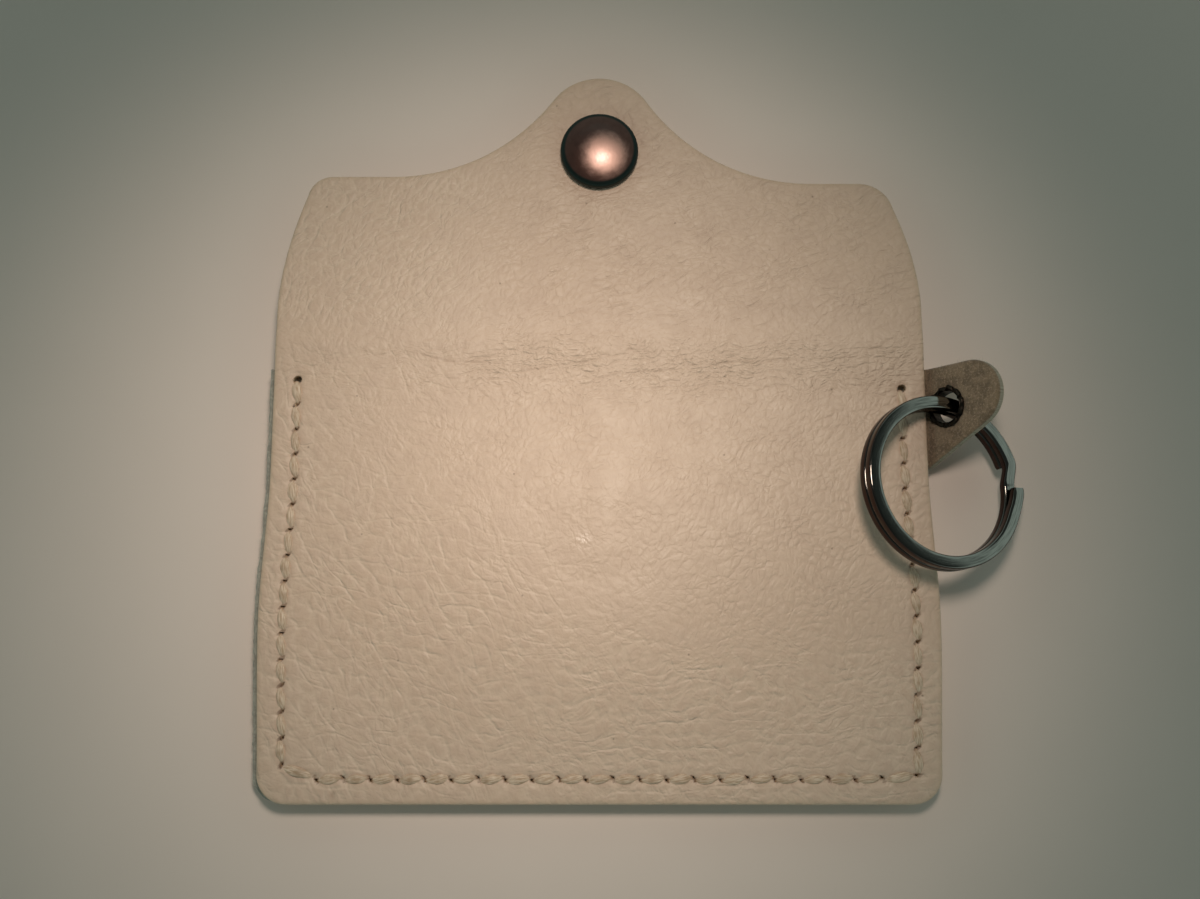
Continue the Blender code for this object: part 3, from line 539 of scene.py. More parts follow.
def grain_zones(x, y):
    """Where the grain is open, level and even, and drawn out on the flap's left and its rest."""
    u, v = x * 1000, y * 1000
    on_flap = ease((v - 30) / 9)
    flap_left = on_flap * ease((-4 - u) / 24)
    level = ease((-6 - v) / 15) * ease((u + 22) / 24) * (1 - on_flap)
    slanting = ease((16 - u * 0.75 - v) / 46) * ease((34 - u) / 44) * (1 - on_flap)
    fold_left = 0.85 * ease((-12 - u) / 14) * np.exp(-((v - 27) / 6.5) ** 2)
    slanting = np.maximum(slanting * (1 - 0.7 * level), fold_left)
    calm = 1 - ease((np.hypot(u / 25, (v - 4) / 21) - 0.35) / 0.9)
    even = (1 - slanting) * (1 - on_flap) * (1 - 0.15 * calm) * (1 - 0.6 * level)
    return slanting, level, even, flap_left, on_flap - flap_left


def lumps(x, y):
    """The low swellings that the pebbles sit on."""
    u, v = x * 1000, y * 1000
    open_share, _, even_share, _, _ = grain_zones(x, y)
    turn = radians(-58)
    along = u * cos(turn) + v * sin(turn)
    across = v * cos(turn) - u * sin(turn)
    drawn = layered(along * 0.5, across, 2.6, 31)
    even = layered(u, v, 2.0, 41)
    tight = layered(u, v * 1.4, 1.1, 51)
    height = 0.024 * open_share * drawn + (0.006 + 0.018 * even_share) * even + 0.008 * tight
    return height / 1000


def fold_creases(x, y):
    """The relief of the creases and of the level ripples round them, and their two shares: the
    painted shade in the creases, and the fold band.
    """
    u, v = x * 1000, y * 1000
    bent_u = u + 0.5 * layered(u, v, 3.0, 101)
    bent_v = v + 0.30 * layered(u, v, 1.9, 111)
    relief = np.zeros_like(u)
    mark = np.zeros_like(u)
    for course, deep, breadth in CREASES:
        line = np.exp(-(from_line(bent_u, bent_v, course) / breadth) ** 2)
        line *= ease(0.65 + 0.9 * layered(u, v, 2.6, 121))
        relief -= deep * line
        mark = np.maximum(mark, np.clip(deep / 0.07, 0.0, 1.0) * line)
    band = np.exp(-((v - FOLD_BAND[0]) / FOLD_BAND[1]) ** 2) * (1 - 0.65 * ease((-12 - u) / 14))
    ripple = layered(u / 3.0, v + 0.4 * layered(u, v, 4.0, 181), 0.95, 191, 2)
    return (relief + 0.042 * band * ripple) / 1000, mark, band


def stud_print(x, y):
    """The hidden post's flange shows through as a low round rise, rubbed on its upper left."""
    away = np.hypot(x * 1000 + 0.4, y * 1000 - 0.1)
    rise = 0.16 * (1 - ease((away - 0.6) / 4.2))
    hollow = -0.055 * np.exp(-((away - 5.6) / 1.1) ** 2)
    rings = 0.018 * np.cos(2 * pi * away / 1.5) * np.exp(-((away - 8.2) / 1.8) ** 2)
    rubbed = np.exp(-((np.hypot(x + 0.0024, y - 0.0008) / 0.0013) ** 2))
    pimples = 0.05 * rubbed * drift(x * 1000, y * 1000, 0.42, 201)
    return (rise + hollow + rings + pimples) / 1000, rubbed


def round_cap(x, y):
    """The leather sinks a little under the clenched cap."""
    away = np.hypot(x, y - SNAP_SPAN) - CAP_RADIUS
    return -0.00016 * (1 - ease(away / 0.0022))


def worn_edge(away, radius):
    """How much a cut edge is rounded over at a distance from it."""
    inside = np.clip(radius - away, 0, radius)
    return radius - np.sqrt(radius ** 2 - inside ** 2)


# Leather sheets

def stations(length, fold=(0.0, 0.0)):
    """Shares along a side, with closer rows at its ends for the rounded edge and at the fold."""
    lead = np.array([0.0, 0.04, 0.10, 0.18, 0.30, 0.48]) / 1000
    spots = np.linspace(lead[-1], length - lead[-1], 4000)
    cell = np.where((spots > fold[0]) & (spots < fold[1]), FOLD_CELL, CELL)
    rows = np.concatenate([[0.0], np.cumsum(np.diff(spots) / cell[1:])])
    inner = np.interp(np.linspace(0, rows[-1], int(round(rows[-1])) + 1), rows, spots)
    return np.concatenate([lead[:-1], inner, length - lead[:-1][::-1]]) / length


def coons(outline, u, v):
    """A grid of points that fills four lines, which meet at their ends."""
    low = along_line(outline["bottom"], u)
    high = along_line(outline["top"], u)
    left = along_line(outline["left"], v)
    right = along_line(outline["right"], v)
    s = u[:, None, None]
    t = v[None, :, None]
    across = mix(left[None], right[None], s)
    upward = mix(low[:, None], high[:, None], t)
    corners = mix(mix(low[0], low[-1], s), mix(high[0], high[-1], s), t)
    return across + upward - corners


def sheet_mesh(name, top, bottom, keep, finishes, flat):
    """Two grids joined along the edges of the faces kept, with grain, flesh and cut edge."""
    columns, rows = top.shape[:2]
    index = np.arange(columns * rows).reshape(columns, rows)
    corner = np.stack([index[:-1, :-1], index[1:, :-1], index[1:, 1:], index[:-1, 1:]], -1)
    kept = corner[keep]
    offset = columns * rows
    sides = np.stack([kept, np.roll(kept, -1, axis=1)], -1).reshape(-1, 2)
    key = sides.min(1) * offset + sides.max(1)
    _, first, times = np.unique(key, return_index=True, return_counts=True)
    a, b = sides[first[times == 1]].T
    rim = np.stack([b, a, a + offset, b + offset], -1)
    faces = np.vstack([kept, kept[:, ::-1] + offset, rim])
    looks = np.concatenate([np.zeros(len(kept)), np.ones(len(kept)), np.full(len(rim), 2)])
    points = np.vstack([top.reshape(-1, 3), bottom.reshape(-1, 3)])
    used = np.unique(faces)
    renumber = np.full(len(points), -1)
    renumber[used] = np.arange(len(used))
    mesh = new_mesh(name, points[used].tolist(), renumber[faces].tolist(), finishes)
    mesh.polygons.foreach_set("material_index", looks.astype(np.int32))
    uv = mesh.uv_layers.new(name="hide_mm")
    both = np.vstack([flat.reshape(-1, 2)] * 2)[used] * 1000
    loops = np.empty(len(mesh.loops), np.int32)
    mesh.loops.foreach_get("vertex_index", loops)
    uv.data.foreach_set("uv", both[loops].astype(np.float32).ravel())
    mesh.validate()
    mesh.set_sharp_from_angle(angle=radians(62))
    return mesh, used


def give_share(mesh, name, top_values, bottom_values, used):
    """A number at each point, which the finish reads."""
    values = np.concatenate([top_values.ravel(), bottom_values.ravel()])[used]
    layer = mesh.attributes.new(name, "FLOAT", "POINT")
    layer.data.foreach_set("value", values.astype(np.float32))


def add_piece(name, mesh):
    piece = placed(name, mesh)
    return piece


def open_round_hole(points, centre, radius):
    """Pulls grid points out to a round hole's edge, and marks the faces left inside."""
    offset = points - np.array(centre)
    away = np.hypot(offset[..., 0], offset[..., 1])
    inside = away < radius
    faces_in = inside[:-1, :-1] & inside[1:, :-1] & inside[1:, 1:] & inside[:-1, 1:]
    scale = np.where(inside, radius / np.maximum(away, 1e-9), 1.0)
    return np.array(centre) + offset * scale[..., None], ~faces_in


def open_awl_holes(points):
    """Pulls grid points out to the edges of the awl holes."""
    keep = np.ones((points.shape[0] - 1, points.shape[1] - 1), bool)
    x, y = points[..., 0], points[..., 1]
    moved = points.copy()
    for hole, ((cx, cy), (wx, wy)) in enumerate(zip(HOLES, SLITS)):
        ahead, aside = slit_shares(x, y, hole)
        reach = np.hypot(ahead, aside)
        near = reach < 1.0
        if not near.any():
            continue
        all_in = near[:-1, :-1] & near[1:, :-1] & near[1:, 1:] & near[:-1, 1:]
        if not all_in.any():
            middle = reach[:-1, :-1] + reach[1:, :-1] + reach[1:, 1:] + reach[:-1, 1:]
            all_in = middle == middle.min()
        keep &= ~all_in
        edge = np.zeros(near.shape, bool)
        for a in (0, 1):
            for b in (0, 1):
                edge[a:edge.shape[0] - 1 + a, b:edge.shape[1] - 1 + b] |= all_in
        edge |= near
        scale = np.where(edge, 1.0 / np.maximum(reach, 0.25), 1.0)
        dx = ahead * scale * HOLE_HALF_LENGTH
        dy = aside * scale * HOLE_HALF_BREADTHS[hole]
        moved[..., 0] = np.where(edge, cx + dx * wx - dy * wy, moved[..., 0])
        moved[..., 1] = np.where(edge, cy + dx * wy + dy * wx, moved[..., 1])
    return moved, keep


def hide_relief(x, y, away):
    """The grain side's height, the shares that its finish reads, and the awl holes' painted
    shade.
    """
    creases, mark, band = fold_creases(x, y)
    stud, rubbed = stud_print(x, y)
    reach = hole_reach(x, y)
    groove = seam_groove(x, y)
    height = lumps(x, y) * (1 - 0.5 * groove) + creases + stud + round_cap(x, y)
    height = height - GROOVE_DEPTH * groove - HOLE_SINK * (1 - ease((reach - 1.0) / 1.2))
    height = height - worn_edge(away, 0.00045) - 0.00007 * (1 - ease(away / 0.0016))
    nick_x, nick_y = ((place - middle) / half for place, middle, half
                      in zip((x, y), NICK_AT, NICK_HALF_SIZES))
    nick = np.exp(-(nick_x ** 2 + nick_y ** 2))
    height = height - NICK_DEPTH * nick
    # The crease share is painted shade in the creases and in the nick.
    shares = {"crease": np.maximum(mark, nick), "fold_band": band, "rubbed": rubbed}
    return height, shares, hole_shade(reach)


def give_grain_shares(mesh, x, y, shares, hole, away, used, grain_up=True):
    """What the leather's finish reads at each point, among it the painted shade of creases and
    awl holes.
    """
    nothing = np.zeros_like(x)
    values = dict.fromkeys(("crease", "fold_band", "rubbed"), nothing)
    values.update(zip(GRAIN_ZONES, grain_zones(x, y)))
    values.update(shares)
    for name, share in values.items():
        sides = (share, nothing) if grain_up else (nothing, share)
        give_share(mesh, name, *sides, used)
    give_share(mesh, "awl_hole", hole, hole, used)
    edge = 1 - ease(away / CUT_EDGE_WIDTH)
    give_share(mesh, "cut_edge", edge, edge, used)


def flesh_relief(x, y):
    u, v = x * 1000, y * 1000
    return (0.035 * layered(u, v, 0.8, 301) + 0.03 * drift(u, v, 0.3, 311)) / 1000


def hide_piece(name, outline, edges, finishes, holes):
    """A piece of the hide, grain side up, with the seam's awl holes or the cap's hole."""
    length = np.hypot(*np.diff(outline["left"], axis=0).T).sum()
    fold = (length - FINE_BELOW_FOLD, length) if holes == "awl" else (0.0, FINE_ABOVE_FOLD)
    u = stations(2 * FOOT_HALF_WIDTH)
    v = stations(length, fold)
    flat = coons(outline, u, v)
    if holes == "awl":
        flat, keep = open_awl_holes(flat)
    else:
        flat, keep = open_round_hole(flat, (0.0, SNAP_SPAN), POST_HOLE_RADIUS)
    x, y = flat[..., 0], flat[..., 1]
    base = hide_underside(x, y)
    away = from_line(x, y, edges)
    height, shares, hole = hide_relief(x, y, away)
    top = np.stack([x, y, base + LEATHER + height], -1)
    low_height = flesh_relief(x, y) * (1 - hole) + worn_edge(away, 0.00030)
    bottom = np.stack([x, y, base + np.maximum(low_height, -0.00004)], -1)
    mesh, used = sheet_mesh(name, top, bottom, keep, finishes, flat)
    give_grain_shares(mesh, x, y, shares, hole, away, used)
    return add_piece(name, mesh)


def make_back_leather(finishes):
    """The back panel up to the middle of the fold, in one piece with the flap's leather."""
    body = body_outline(FOLD_MIDDLE_Y)
    edges = np.vstack([body["left"][::-1], body["bottom"], body["right"]])
    piece = hide_piece("back_leather", body, edges, finishes, "awl")
    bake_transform(piece)
    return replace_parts(piece, "back_panel", "fold_spine")


def make_flap_leather(finishes):
    shape = flap_outline()
    edges = np.vstack([shape["left"], shape["top"], shape["right"][::-1]])
    piece = hide_piece("flap_leather", shape, edges, finishes, "cap")
    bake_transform(piece)
    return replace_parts(piece, "flap")


def make_front_leather(finishes):
    """The front panel lies grain side down; its left edge stands a little proud."""
    shape = body_outline(FRONT_TOP_Y, FRONT_PROUD_LEFT)
    edges = np.vstack([shape["left"][::-1], shape["bottom"], shape["right"], shape["top"][::-1]])
    u = stations(2 * FOOT_HALF_WIDTH)
    v = stations(FRONT_TOP_Y - BOTTOM_Y)
    flat, keep = open_awl_holes(coons(shape, u, v))
    around_stud, keep_stud = open_round_hole(flat, (0.0, 0.0), POST_HOLE_RADIUS)
    x, y = around_stud[..., 0], around_stud[..., 1]
    base = front_underside(x, y)
    away = from_line(x, y, edges)
    groove = seam_groove(x, y)
    hole = hole_shade(hole_reach(x, y))
    relief = lumps(-x, y) * (1 - 0.5 * groove) - FRONT_GROOVE_DEPTH * groove
    relief = relief - worn_edge(away, 0.00035)
    tab_root = ease((y - TAB_ROOT_Y) / 0.0008) * ease((x - MOUTH_HALF_WIDTH + 0.0009) / 0.0009)
    relief = relief * (1 - tab_root)
    rough = flesh_relief(x, y) - worn_edge(away, 0.00025) * (1 - tab_root)
    top = np.stack([x, y, base + LEATHER + np.minimum(rough, 0.00003)], -1)
    bottom = np.stack([x, y, base - np.minimum(relief, 0.00006)], -1)
    ragged = 0.00022 * ease(1 - away / 0.0003) * layered(x * 1000, y * 1000, 0.9, 331)
    left_side = ease((-x - 0.049) / 0.001)
    top[..., 0] -= ragged * left_side
    mesh, used = sheet_mesh("front_leather", top, bottom, keep & keep_stud, finishes, around_stud)
    give_grain_shares(mesh, x, y, {}, hole, away, used, grain_up=False)
    piece = add_piece("front_leather", mesh)
    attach(piece, "wallet")
    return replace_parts(piece, "front_panel")


def make_tab_leather(finishes):
    """The tongue that the front panel's leather grows into, suede side up."""
    shape = tab_outline()
    edges = np.vstack([shape["bottom"], shape["right"], shape["top"][::-1]])
    u = stations(TAB_LENGTH)
    v = stations(TAB_MEAN_BREADTH)
    flat = coons(shape, u, v)
    hole_radius = EYELET_BORE + EYELET_WALL
    flat, keep = open_round_hole(flat, (EYELET_REACH, EYELET_Y), hole_radius)
    x, y = flat[..., 0], flat[..., 1]
    away = from_line(x, y, edges)
    u_mm, v_mm = x * 1000, y * 1000
    nap = 0.05 * layered(u_mm, v_mm, 1.3, 401) + 0.035 * drift(u_mm, v_mm, 0.35, 411)
    from_eye = np.hypot(x - EYELET_REACH, y - EYELET_Y)
    pressed = 0.10 * (1 - ease((from_eye - 0.0028) / 0.0012))
    up = LEATHER / 2 + (nap - pressed) / 1000 - worn_edge(away, 0.0004)
    down = -LEATHER / 2 - lumps(x + 0.03, y) * 0.6 + worn_edge(away, 0.0003)
    top = tab_place(x, y, np.minimum(up, LEATHER / 2 + 0.00005))
    bottom = tab_place(x, y, np.maximum(down, -LEATHER / 2 - 0.00005))
    mesh, used = sheet_mesh("tab_leather", top, bottom, keep, finishes, flat)
    give_grain_shares(mesh, x + MOUTH_HALF_WIDTH, y, {}, np.zeros_like(x), away, used,
                      grain_up=False)
    piece = add_piece("tab_leather", mesh)
    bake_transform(piece)
    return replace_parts(piece, "key_tab")


# Saddle stitch

def swept(name, centres, sides, ups, ring, look):
    """A closed section carried along centres; ring holds each station's (aside, above) points."""
    count, around = ring.shape[:2]
    points = centres[:, None] + ring[..., :1] * sides[:, None] + ring[..., 1:] * ups[:, None]
    index = np.arange(count * around).reshape(count, around)
    nxt = np.roll(index, -1, axis=1)
    faces = np.stack([index[:-1], nxt[:-1], nxt[1:], index[1:]], -1).reshape(-1, 4).tolist()
    faces += [index[0][::-1].tolist(), index[-1].tolist()]
    mesh = new_mesh(name, points.reshape(-1, 3).tolist(), faces, [look])
    uv = mesh.uv_layers.new(name="along_mm")
    share = np.arange(around + 1) / around
    along = reached(centres) * 1000
    values = np.zeros((len(mesh.loops), 2), np.float32)
    quads = values[:4 * (count - 1) * around].reshape(count - 1, around, 4, 2)
    quads[..., 0] = np.stack([share[:-1], share[1:], share[1:], share[:-1]], -1)
    quads[..., 1] = np.stack([along[:-1], along[:-1], along[1:], along[1:]], -1)[:, None]
    uv.data.foreach_set("uv", values.ravel())
    return add_piece(name, mesh)


def thread_route(first_on_top):
    """Where one needle's thread runs, with how flat it is and which way its width lies.

    Over the seam it leaves a slit at its near end and dives into the next one at its far end;
    under the seam it is the other way round, so the two threads never cross inside a slit.
    """
    centres, flatness, aside = [], [], []
    last = len(HOLES) - 1
    for i in range(last):
        on_top = (i % 2 == 0) == first_on_top
        end = 1.0 if on_top else -1.0
        a = HOLES[i] - end * SLITS[i] * THREAD_SIDE
        b = HOLES[i + 1] + end * SLITS[i + 1] * THREAD_SIDE
        leg = (b - a) / np.hypot(*(b - a))
        for t in np.linspace(0, 1, STITCH_STATIONS):
            spot = a + (b - a) * t
            bulge = sin(pi * t) ** 0.6 if 0 < t < 1 else 0.0
            if on_top:
                z = float(back_underside(*spot)) + LEATHER - STRAND_DIP + STRAND_RISE_OVER * bulge
            else:
                z = float(front_underside(*spot)) + STRAND_DIP - STRAND_RISE_UNDER * bulge
            centres.append((spot[0], spot[1], z))
            flatness.append(bulge)
            aside.append((-leg[1], leg[0], 0.0))
        if i + 1 < last:
            top = float(back_underside(*HOLES[i + 1])) + LEATHER
            low = float(front_underside(*HOLES[i + 1]))
            depths = np.linspace(top - PASS_INSET, low + PASS_INSET, PASS_STATIONS)
            for z in depths if on_top else depths[::-1]:
                centres.append((b[0], b[1], z))
                flatness.append(0.0)
                aside.append((*SLITS[i + 1], 0.0))
    return np.array(centres), np.array(flatness), np.array(aside)


def smoothed(values, passes=2):
    for _ in range(passes):
        values = np.concatenate([values[:1], (values[:-2] + 2 * values[1:-1] + values[2:]) / 4,
                                 values[-1:]])
    return values


def make_thread(name, first_on_top, look, seed):
    """A waxed thread of many parallel filaments, pulled flat over each stitch."""
    centres, flatness, aside = thread_route(first_on_top)
    centres = smoothed(centres)
    aside = unit(smoothed(aside, 3))
    tangent = unit(np.gradient(centres, axis=0))
    aside = unit(aside - tangent * (aside * tangent).sum(1)[:, None])
    ups = np.cross(aside, tangent)
    count = len(centres)
    angle = np.linspace(0, 2 * pi, THREAD_STEPS, endpoint=False)
    rng = np.random.default_rng(seed)
    per_stitch = rng.uniform(0.88, 1.10, len(HOLES) + 1)
    stitch = np.minimum(np.arange(count) // (STITCH_STATIONS + PASS_STATIONS), len(HOLES))
    width = mix(THREAD_HALF_WIDTH, STRAND_HALF_WIDTH, flatness ** 1.2) * per_stitch[stitch]
    thick = mix(THREAD_HALF_THICK, STRAND_HALF_THICK, flatness)
    twist = reached(centres)[:, None] * 1000 * THREAD_TURNS_PER_MM
    ply = 1 + 0.06 * np.cos(3 * angle[None] + twist * 2 * pi)
    ply = ply + 0.03 * np.cos(8 * angle[None] + twist * 2 * pi)
    ply = ply + 0.02 * rng.normal(size=(count, THREAD_STEPS))
    ring = np.stack([width[:, None] * np.cos(angle) * ply,
                     thick[:, None] * np.sin(angle) * ply], -1)
    piece = swept(name, centres, aside, ups, ring, look)
    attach(piece, "wallet")
    return piece


# Turned metal pieces

def arc_points(centre_r, centre_z, radius, start, end, steps):
    angles = np.radians(np.linspace(start, end, steps + 1))
    return [(centre_r + radius * cos(a), centre_z + radius * sin(a)) for a in angles]


def turned(name, profile, place, tilt, look, wobble=None, closed=True):
    """A profile of (radius, height) points turned about an axis that leans by tilt about Y."""
    profile = np.array(profile)
    steps = TURNED_STEPS
    angle = np.linspace(0, 2 * pi, steps, endpoint=False)
    radius = profile[:, 0][:, None] * np.ones(steps)
    height = profile[:, 1][:, None] * np.ones(steps)
    if wobble is not None:
        radius, height = wobble(radius, height, angle[None] * np.ones_like(radius))
    points = np.stack([radius * np.cos(angle), radius * np.sin(angle), height], -1)
    index = np.arange(len(profile) * steps).reshape(len(profile), steps)
    nxt = np.roll(index, -1, axis=1)
    faces = np.stack([index[:-1], index[1:], nxt[1:], nxt[:-1]], -1).reshape(-1, 4).tolist()
    if closed:
        faces += np.stack([index[-1], index[0], nxt[0], nxt[-1]], -1).tolist()
    mesh = new_mesh(name, points.reshape(-1, 3).tolist(), faces, [look])
    face_outwards(mesh, weld=True)
    mesh.transform(Matrix.Translation(place) @ Matrix.Rotation(-tilt, 4, "Y"))
    mesh.set_sharp_from_angle(angle=radians(38))
    return add_piece(name, mesh)


def make_cap(look):
    """A stamped cap: a part of a ball, a tight shoulder, a straight wall and a rolled lip."""
    turn_radius = CAP_RADIUS - CAP_SHOULDER
    dome_z = CAP_HEIGHT - CAP_DOME_RADIUS
    turn_z = dome_z + sqrt((CAP_DOME_RADIUS - CAP_SHOULDER) ** 2 - turn_radius ** 2)
    meet = degrees(atan2(turn_z - dome_z, turn_radius))
    profile = arc_points(0.0, dome_z, CAP_DOME_RADIUS, 90, meet, 20)
    profile += arc_points(turn_radius, turn_z, CAP_SHOULDER, meet, 0, 14)[1:]
    profile += [(CAP_RADIUS, CAP_LIP + 0.00022), (CAP_RADIUS - 0.00006, CAP_LIP + 0.00016)]
    profile += [(CAP_RADIUS - 0.00002, CAP_LIP + 0.00006)]
    profile += arc_points(CAP_RADIUS - CAP_LIP, CAP_LIP, CAP_LIP, 0, -90, 8)
    profile += [(CAP_RADIUS - 0.0012, 0.0), (0.0018, 0.00002), (0.0, 0.00002)]
    piece = turned("snap_cap_dome", profile, (0, SNAP_SPAN, CAP_Z), 0.0, look,
                   closed=False)
    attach(piece, "flap")
    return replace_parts(piece, "snap_cap")


def make_eyelet(look):
    """A steel eyelet rolled over the suede: its lip has split unevenly."""
    face = LEATHER / 2 + SEAT_GAP
    outer = EYELET_BORE + EYELET_WALL
    roll = (EYELET_ROLL_RADIUS - EYELET_BORE) / 2
    profile = arc_points(EYELET_BORE + roll, face, roll, 180, 0, 12)
    profile += [(outer + 0.00008, face - 0.00005), (outer, face), (outer, -face)]
    profile += [(EYELET_FLANGE_RADIUS, -face), (EYELET_FLANGE_RADIUS, -face - EYELET_WALL / 2)]
    profile += arc_points(EYELET_FLANGE_RADIUS - 0.0002, -face - 0.0001, 0.0002, -20, -90, 4)
    profile += arc_points(outer, -face, EYELET_WALL, -90, -180, 4)

    def splits(radius, height, angle):
        lip = ease((height - face + 0.0001) / 0.0003) * ease((radius - EYELET_BORE) / 0.0004)
        edge = np.zeros_like(angle)
        for at, deep, wide in ((0.4, 1.0, 0.10), (1.0, 0.5, 0.06), (1.6, 0.9, 0.09),
                               (2.2, 1.0, 0.12), (3.0, 0.7, 0.08), (3.5, 0.5, 0.06),
                               (4.1, 1.0, 0.11), (4.8, 0.8, 0.09), (5.6, 1.0, 0.12)):
            turn = (angle - at + pi) % (2 * pi) - pi
            edge += deep * np.exp(-(turn / wide) ** 2)
        wave = 0.00010 * np.sin(5 * angle + 1) + 0.00008 * np.sin(11 * angle)
        wave = wave + 0.00005 * np.sin(23 * angle + 2)
        return radius - lip * 0.00045 * edge + lip * wave, height - lip * (0.00014 * edge - wave)

    eye = tab_place(np.array(EYELET_REACH), np.array(EYELET_Y), np.array(0.0))
    piece = turned("eyelet_rolled", profile, Vector(eye), TAB_RISE, look, splits)
    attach(piece, "tab")
    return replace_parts(piece, "tab_eyelet")


# Split ring

def make_ring(look):
    """Flat wire wound in two turns; the upper turn steps down into the lower one."""
    level = (WIRE_HEIGHT + TURN_GAP) / 2
    upper = 2 * pi + RING_START - JOG_START
    total = upper + 2 * pi + RING_END_PAST
    swept_angle = np.linspace(0, total, 420)
    jog = upper + np.linspace(0, JOG_SWEEP, 16)
    swept_angle = np.unique(np.concatenate([swept_angle, jog]))
    angle = RING_START - swept_angle
    height = mix(level, -level, ease((swept_angle - upper) / JOG_SWEEP))
    radius = RING_RADIUS + START_SPRING_OUT * (1 - ease(swept_angle / START_SPRING_SWEEP))
    local = np.stack([radius * np.cos(angle), radius * np.sin(angle), height], -1)
    outward = np.stack([np.cos(angle), np.sin(angle), 0 * angle], -1)
    normal = np.array([sin(RING_TILT) * cos(RING_TILT_TOWARDS),
                       sin(RING_TILT) * sin(RING_TILT_TOWARDS), cos(RING_TILT)])
    right = np.cross([0.0, 1.0, 0.0], normal)
    right /= np.linalg.norm(right)
    ahead = np.cross(normal, right)
    axes = np.stack([right, ahead, normal])
    eye = tab_place(np.array(EYELET_REACH), np.array(EYELET_Y), np.array(0.0))
    centre = eye - (right * cos(RING_AT_EYELET) + ahead * sin(RING_AT_EYELET)) * RING_RADIUS
    points = centre + local @ axes
    w, h, r = WIRE_WIDTH / 2, WIRE_HEIGHT / 2, WIRE_ROUND
    section = []
    for cx, cy, start in ((w - r, h - r, 0), (r - w, h - r, 90), (r - w, r - h, 180),
                          (w - r, r - h, 270)):
        section += arc_points(cx, cy, r, start, start + 90, 5)
        if start in (0, 180):
            across = np.linspace(cx, -cx, 9)[1:-1]
            section += [(a, np.sign(cy) * h) for a in across]
    crowned = np.array(section)
    crowned[:, 1] -= np.sign(crowned[:, 1]) * WIRE_CROWN * (crowned[:, 0] / w) ** 2
    count = len(points)
    ring = np.repeat(crowned[None], count, axis=0)
    # Both cut ends of the wire are filed a little narrower.
    taper = np.ones(count)
    taper[[0, -1]] = 0.86
    taper[[1, -2]] = 0.97
    ring = ring * taper[:, None, None]
    sides = outward @ axes
    ups = np.repeat(normal[None], count, axis=0)
    piece = swept("ring_wire", points, sides, ups, ring, look)
    face_outwards(piece.data)
    piece.data.set_sharp_from_angle(angle=radians(50))
    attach(piece, "ring")
    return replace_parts(piece, "split_ring")


# Loose suede fibres along the cut edges

def make_fibres(name, body, roots, lengths, look, seed, spread):
    """Thin tapered hairs, three-sided, that leave the edge outwards and curl."""
    rng = np.random.default_rng(seed)
    points, faces = [], []
    for (root, outward), length in zip(roots, lengths):
        out = np.array(outward, float) + rng.normal(0, spread, 3) * (1, 1, 0.45)
        out /= np.linalg.norm(out)
        curl = rng.normal(0, 0.9, 3)
        curl[2] -= 0.5
        thick = rng.uniform(0.000010, 0.000020)
        side = np.cross(out, (0.3, 0.2, 1.0))
        side /= np.linalg.norm(side)
        up = np.cross(side, out)
        start = len(points)
        for k in range(5):
            t = k / 4
            centre = np.array(root) + length * (out * t + 0.35 * curl * t * t)
            centre[2] = max(centre[2], 0.00003)
            size = thick * (1 - 0.85 * t)
            for turn in (0.0, 2.094, 4.189):
                points.append(centre + size * (cos(turn) * side + sin(turn) * up))
        for k in range(4):
            for j in range(3):
                a = start + 3 * k + j
                b = start + 3 * k + (j + 1) % 3
                faces.append((a, b, b + 3, a + 3))
        faces.append((start + 12, start + 13, start + 14))
    mesh = new_mesh(name, [tuple(p) for p in points], faces, [look], smooth=False)
    piece = add_piece(name, mesh)
    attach(piece, body)
    return piece


def edge_fibres(look):
    rng = np.random.default_rng(77)
    roots, lengths = [], []
    for _ in range(1500):
        y = rng.uniform(BOTTOM_Y + 0.003, FRONT_TOP_Y)
        x = -float(half_width(y)) - FRONT_PROUD_LEFT + 0.00015
        z = float(front_underside(x, y)) + rng.uniform(0.0002, LEATHER)
        roots.append(((x, y, z), (-1.0, rng.normal(0, 0.5), 0.1)))
        lengths.append(abs(rng.normal(0.00030, 0.00034)) + 0.00008)
    for _ in range(260):
        y = rng.uniform(BOTTOM_Y + 0.004, TAB_ROOT_Y)
        x = float(half_width(y)) - 0.0001
        z = float(front_underside(x, y)) + rng.uniform(0.0002, LEATHER)
        near = np.exp(-((y - 0.0060) / 0.005) ** 2)
        roots.append(((x, y, z), (1.0, rng.normal(0, 0.8), 0.1)))
        lengths.append(abs(rng.normal(0.00025 + 0.0008 * near, 0.0003)) + 0.00008)
    return make_fibres("edge_fibres", "wallet", roots, lengths, look, 78, 0.45)


def tab_fibres(look):
    shape = tab_outline()
    line = np.vstack([shape["bottom"], shape["right"], shape["top"][::-1]])
    rng = np.random.default_rng(87)
    roots, lengths = [], []
    shares = rng.uniform(0.12, 0.98, 260)
    spots = along_line(line, shares)
    ahead = along_line(line, np.minimum(shares + 0.005, 1.0)) - spots
    for spot, way in zip(spots, ahead):
        if spot[0] < 0.0025:
            continue
        out = np.array([way[1], -way[0]]) / (np.hypot(*way) + 1e-12)
        above = rng.uniform(-0.3, 0.45) * LEATHER
        root = tab_place(spot[0] - 0.0001 * out[0], spot[1] - 0.0001 * out[1], above)
        outward = (out[0] * cos(TAB_RISE), out[1], out[0] * sin(TAB_RISE))
        roots.append((root, outward))
        lengths.append(abs(rng.normal(0.00024, 0.00016)) + 0.00006)
    return make_fibres("tab_fibres", "tab", roots, lengths, look, 88, 0.4)


# Finishes

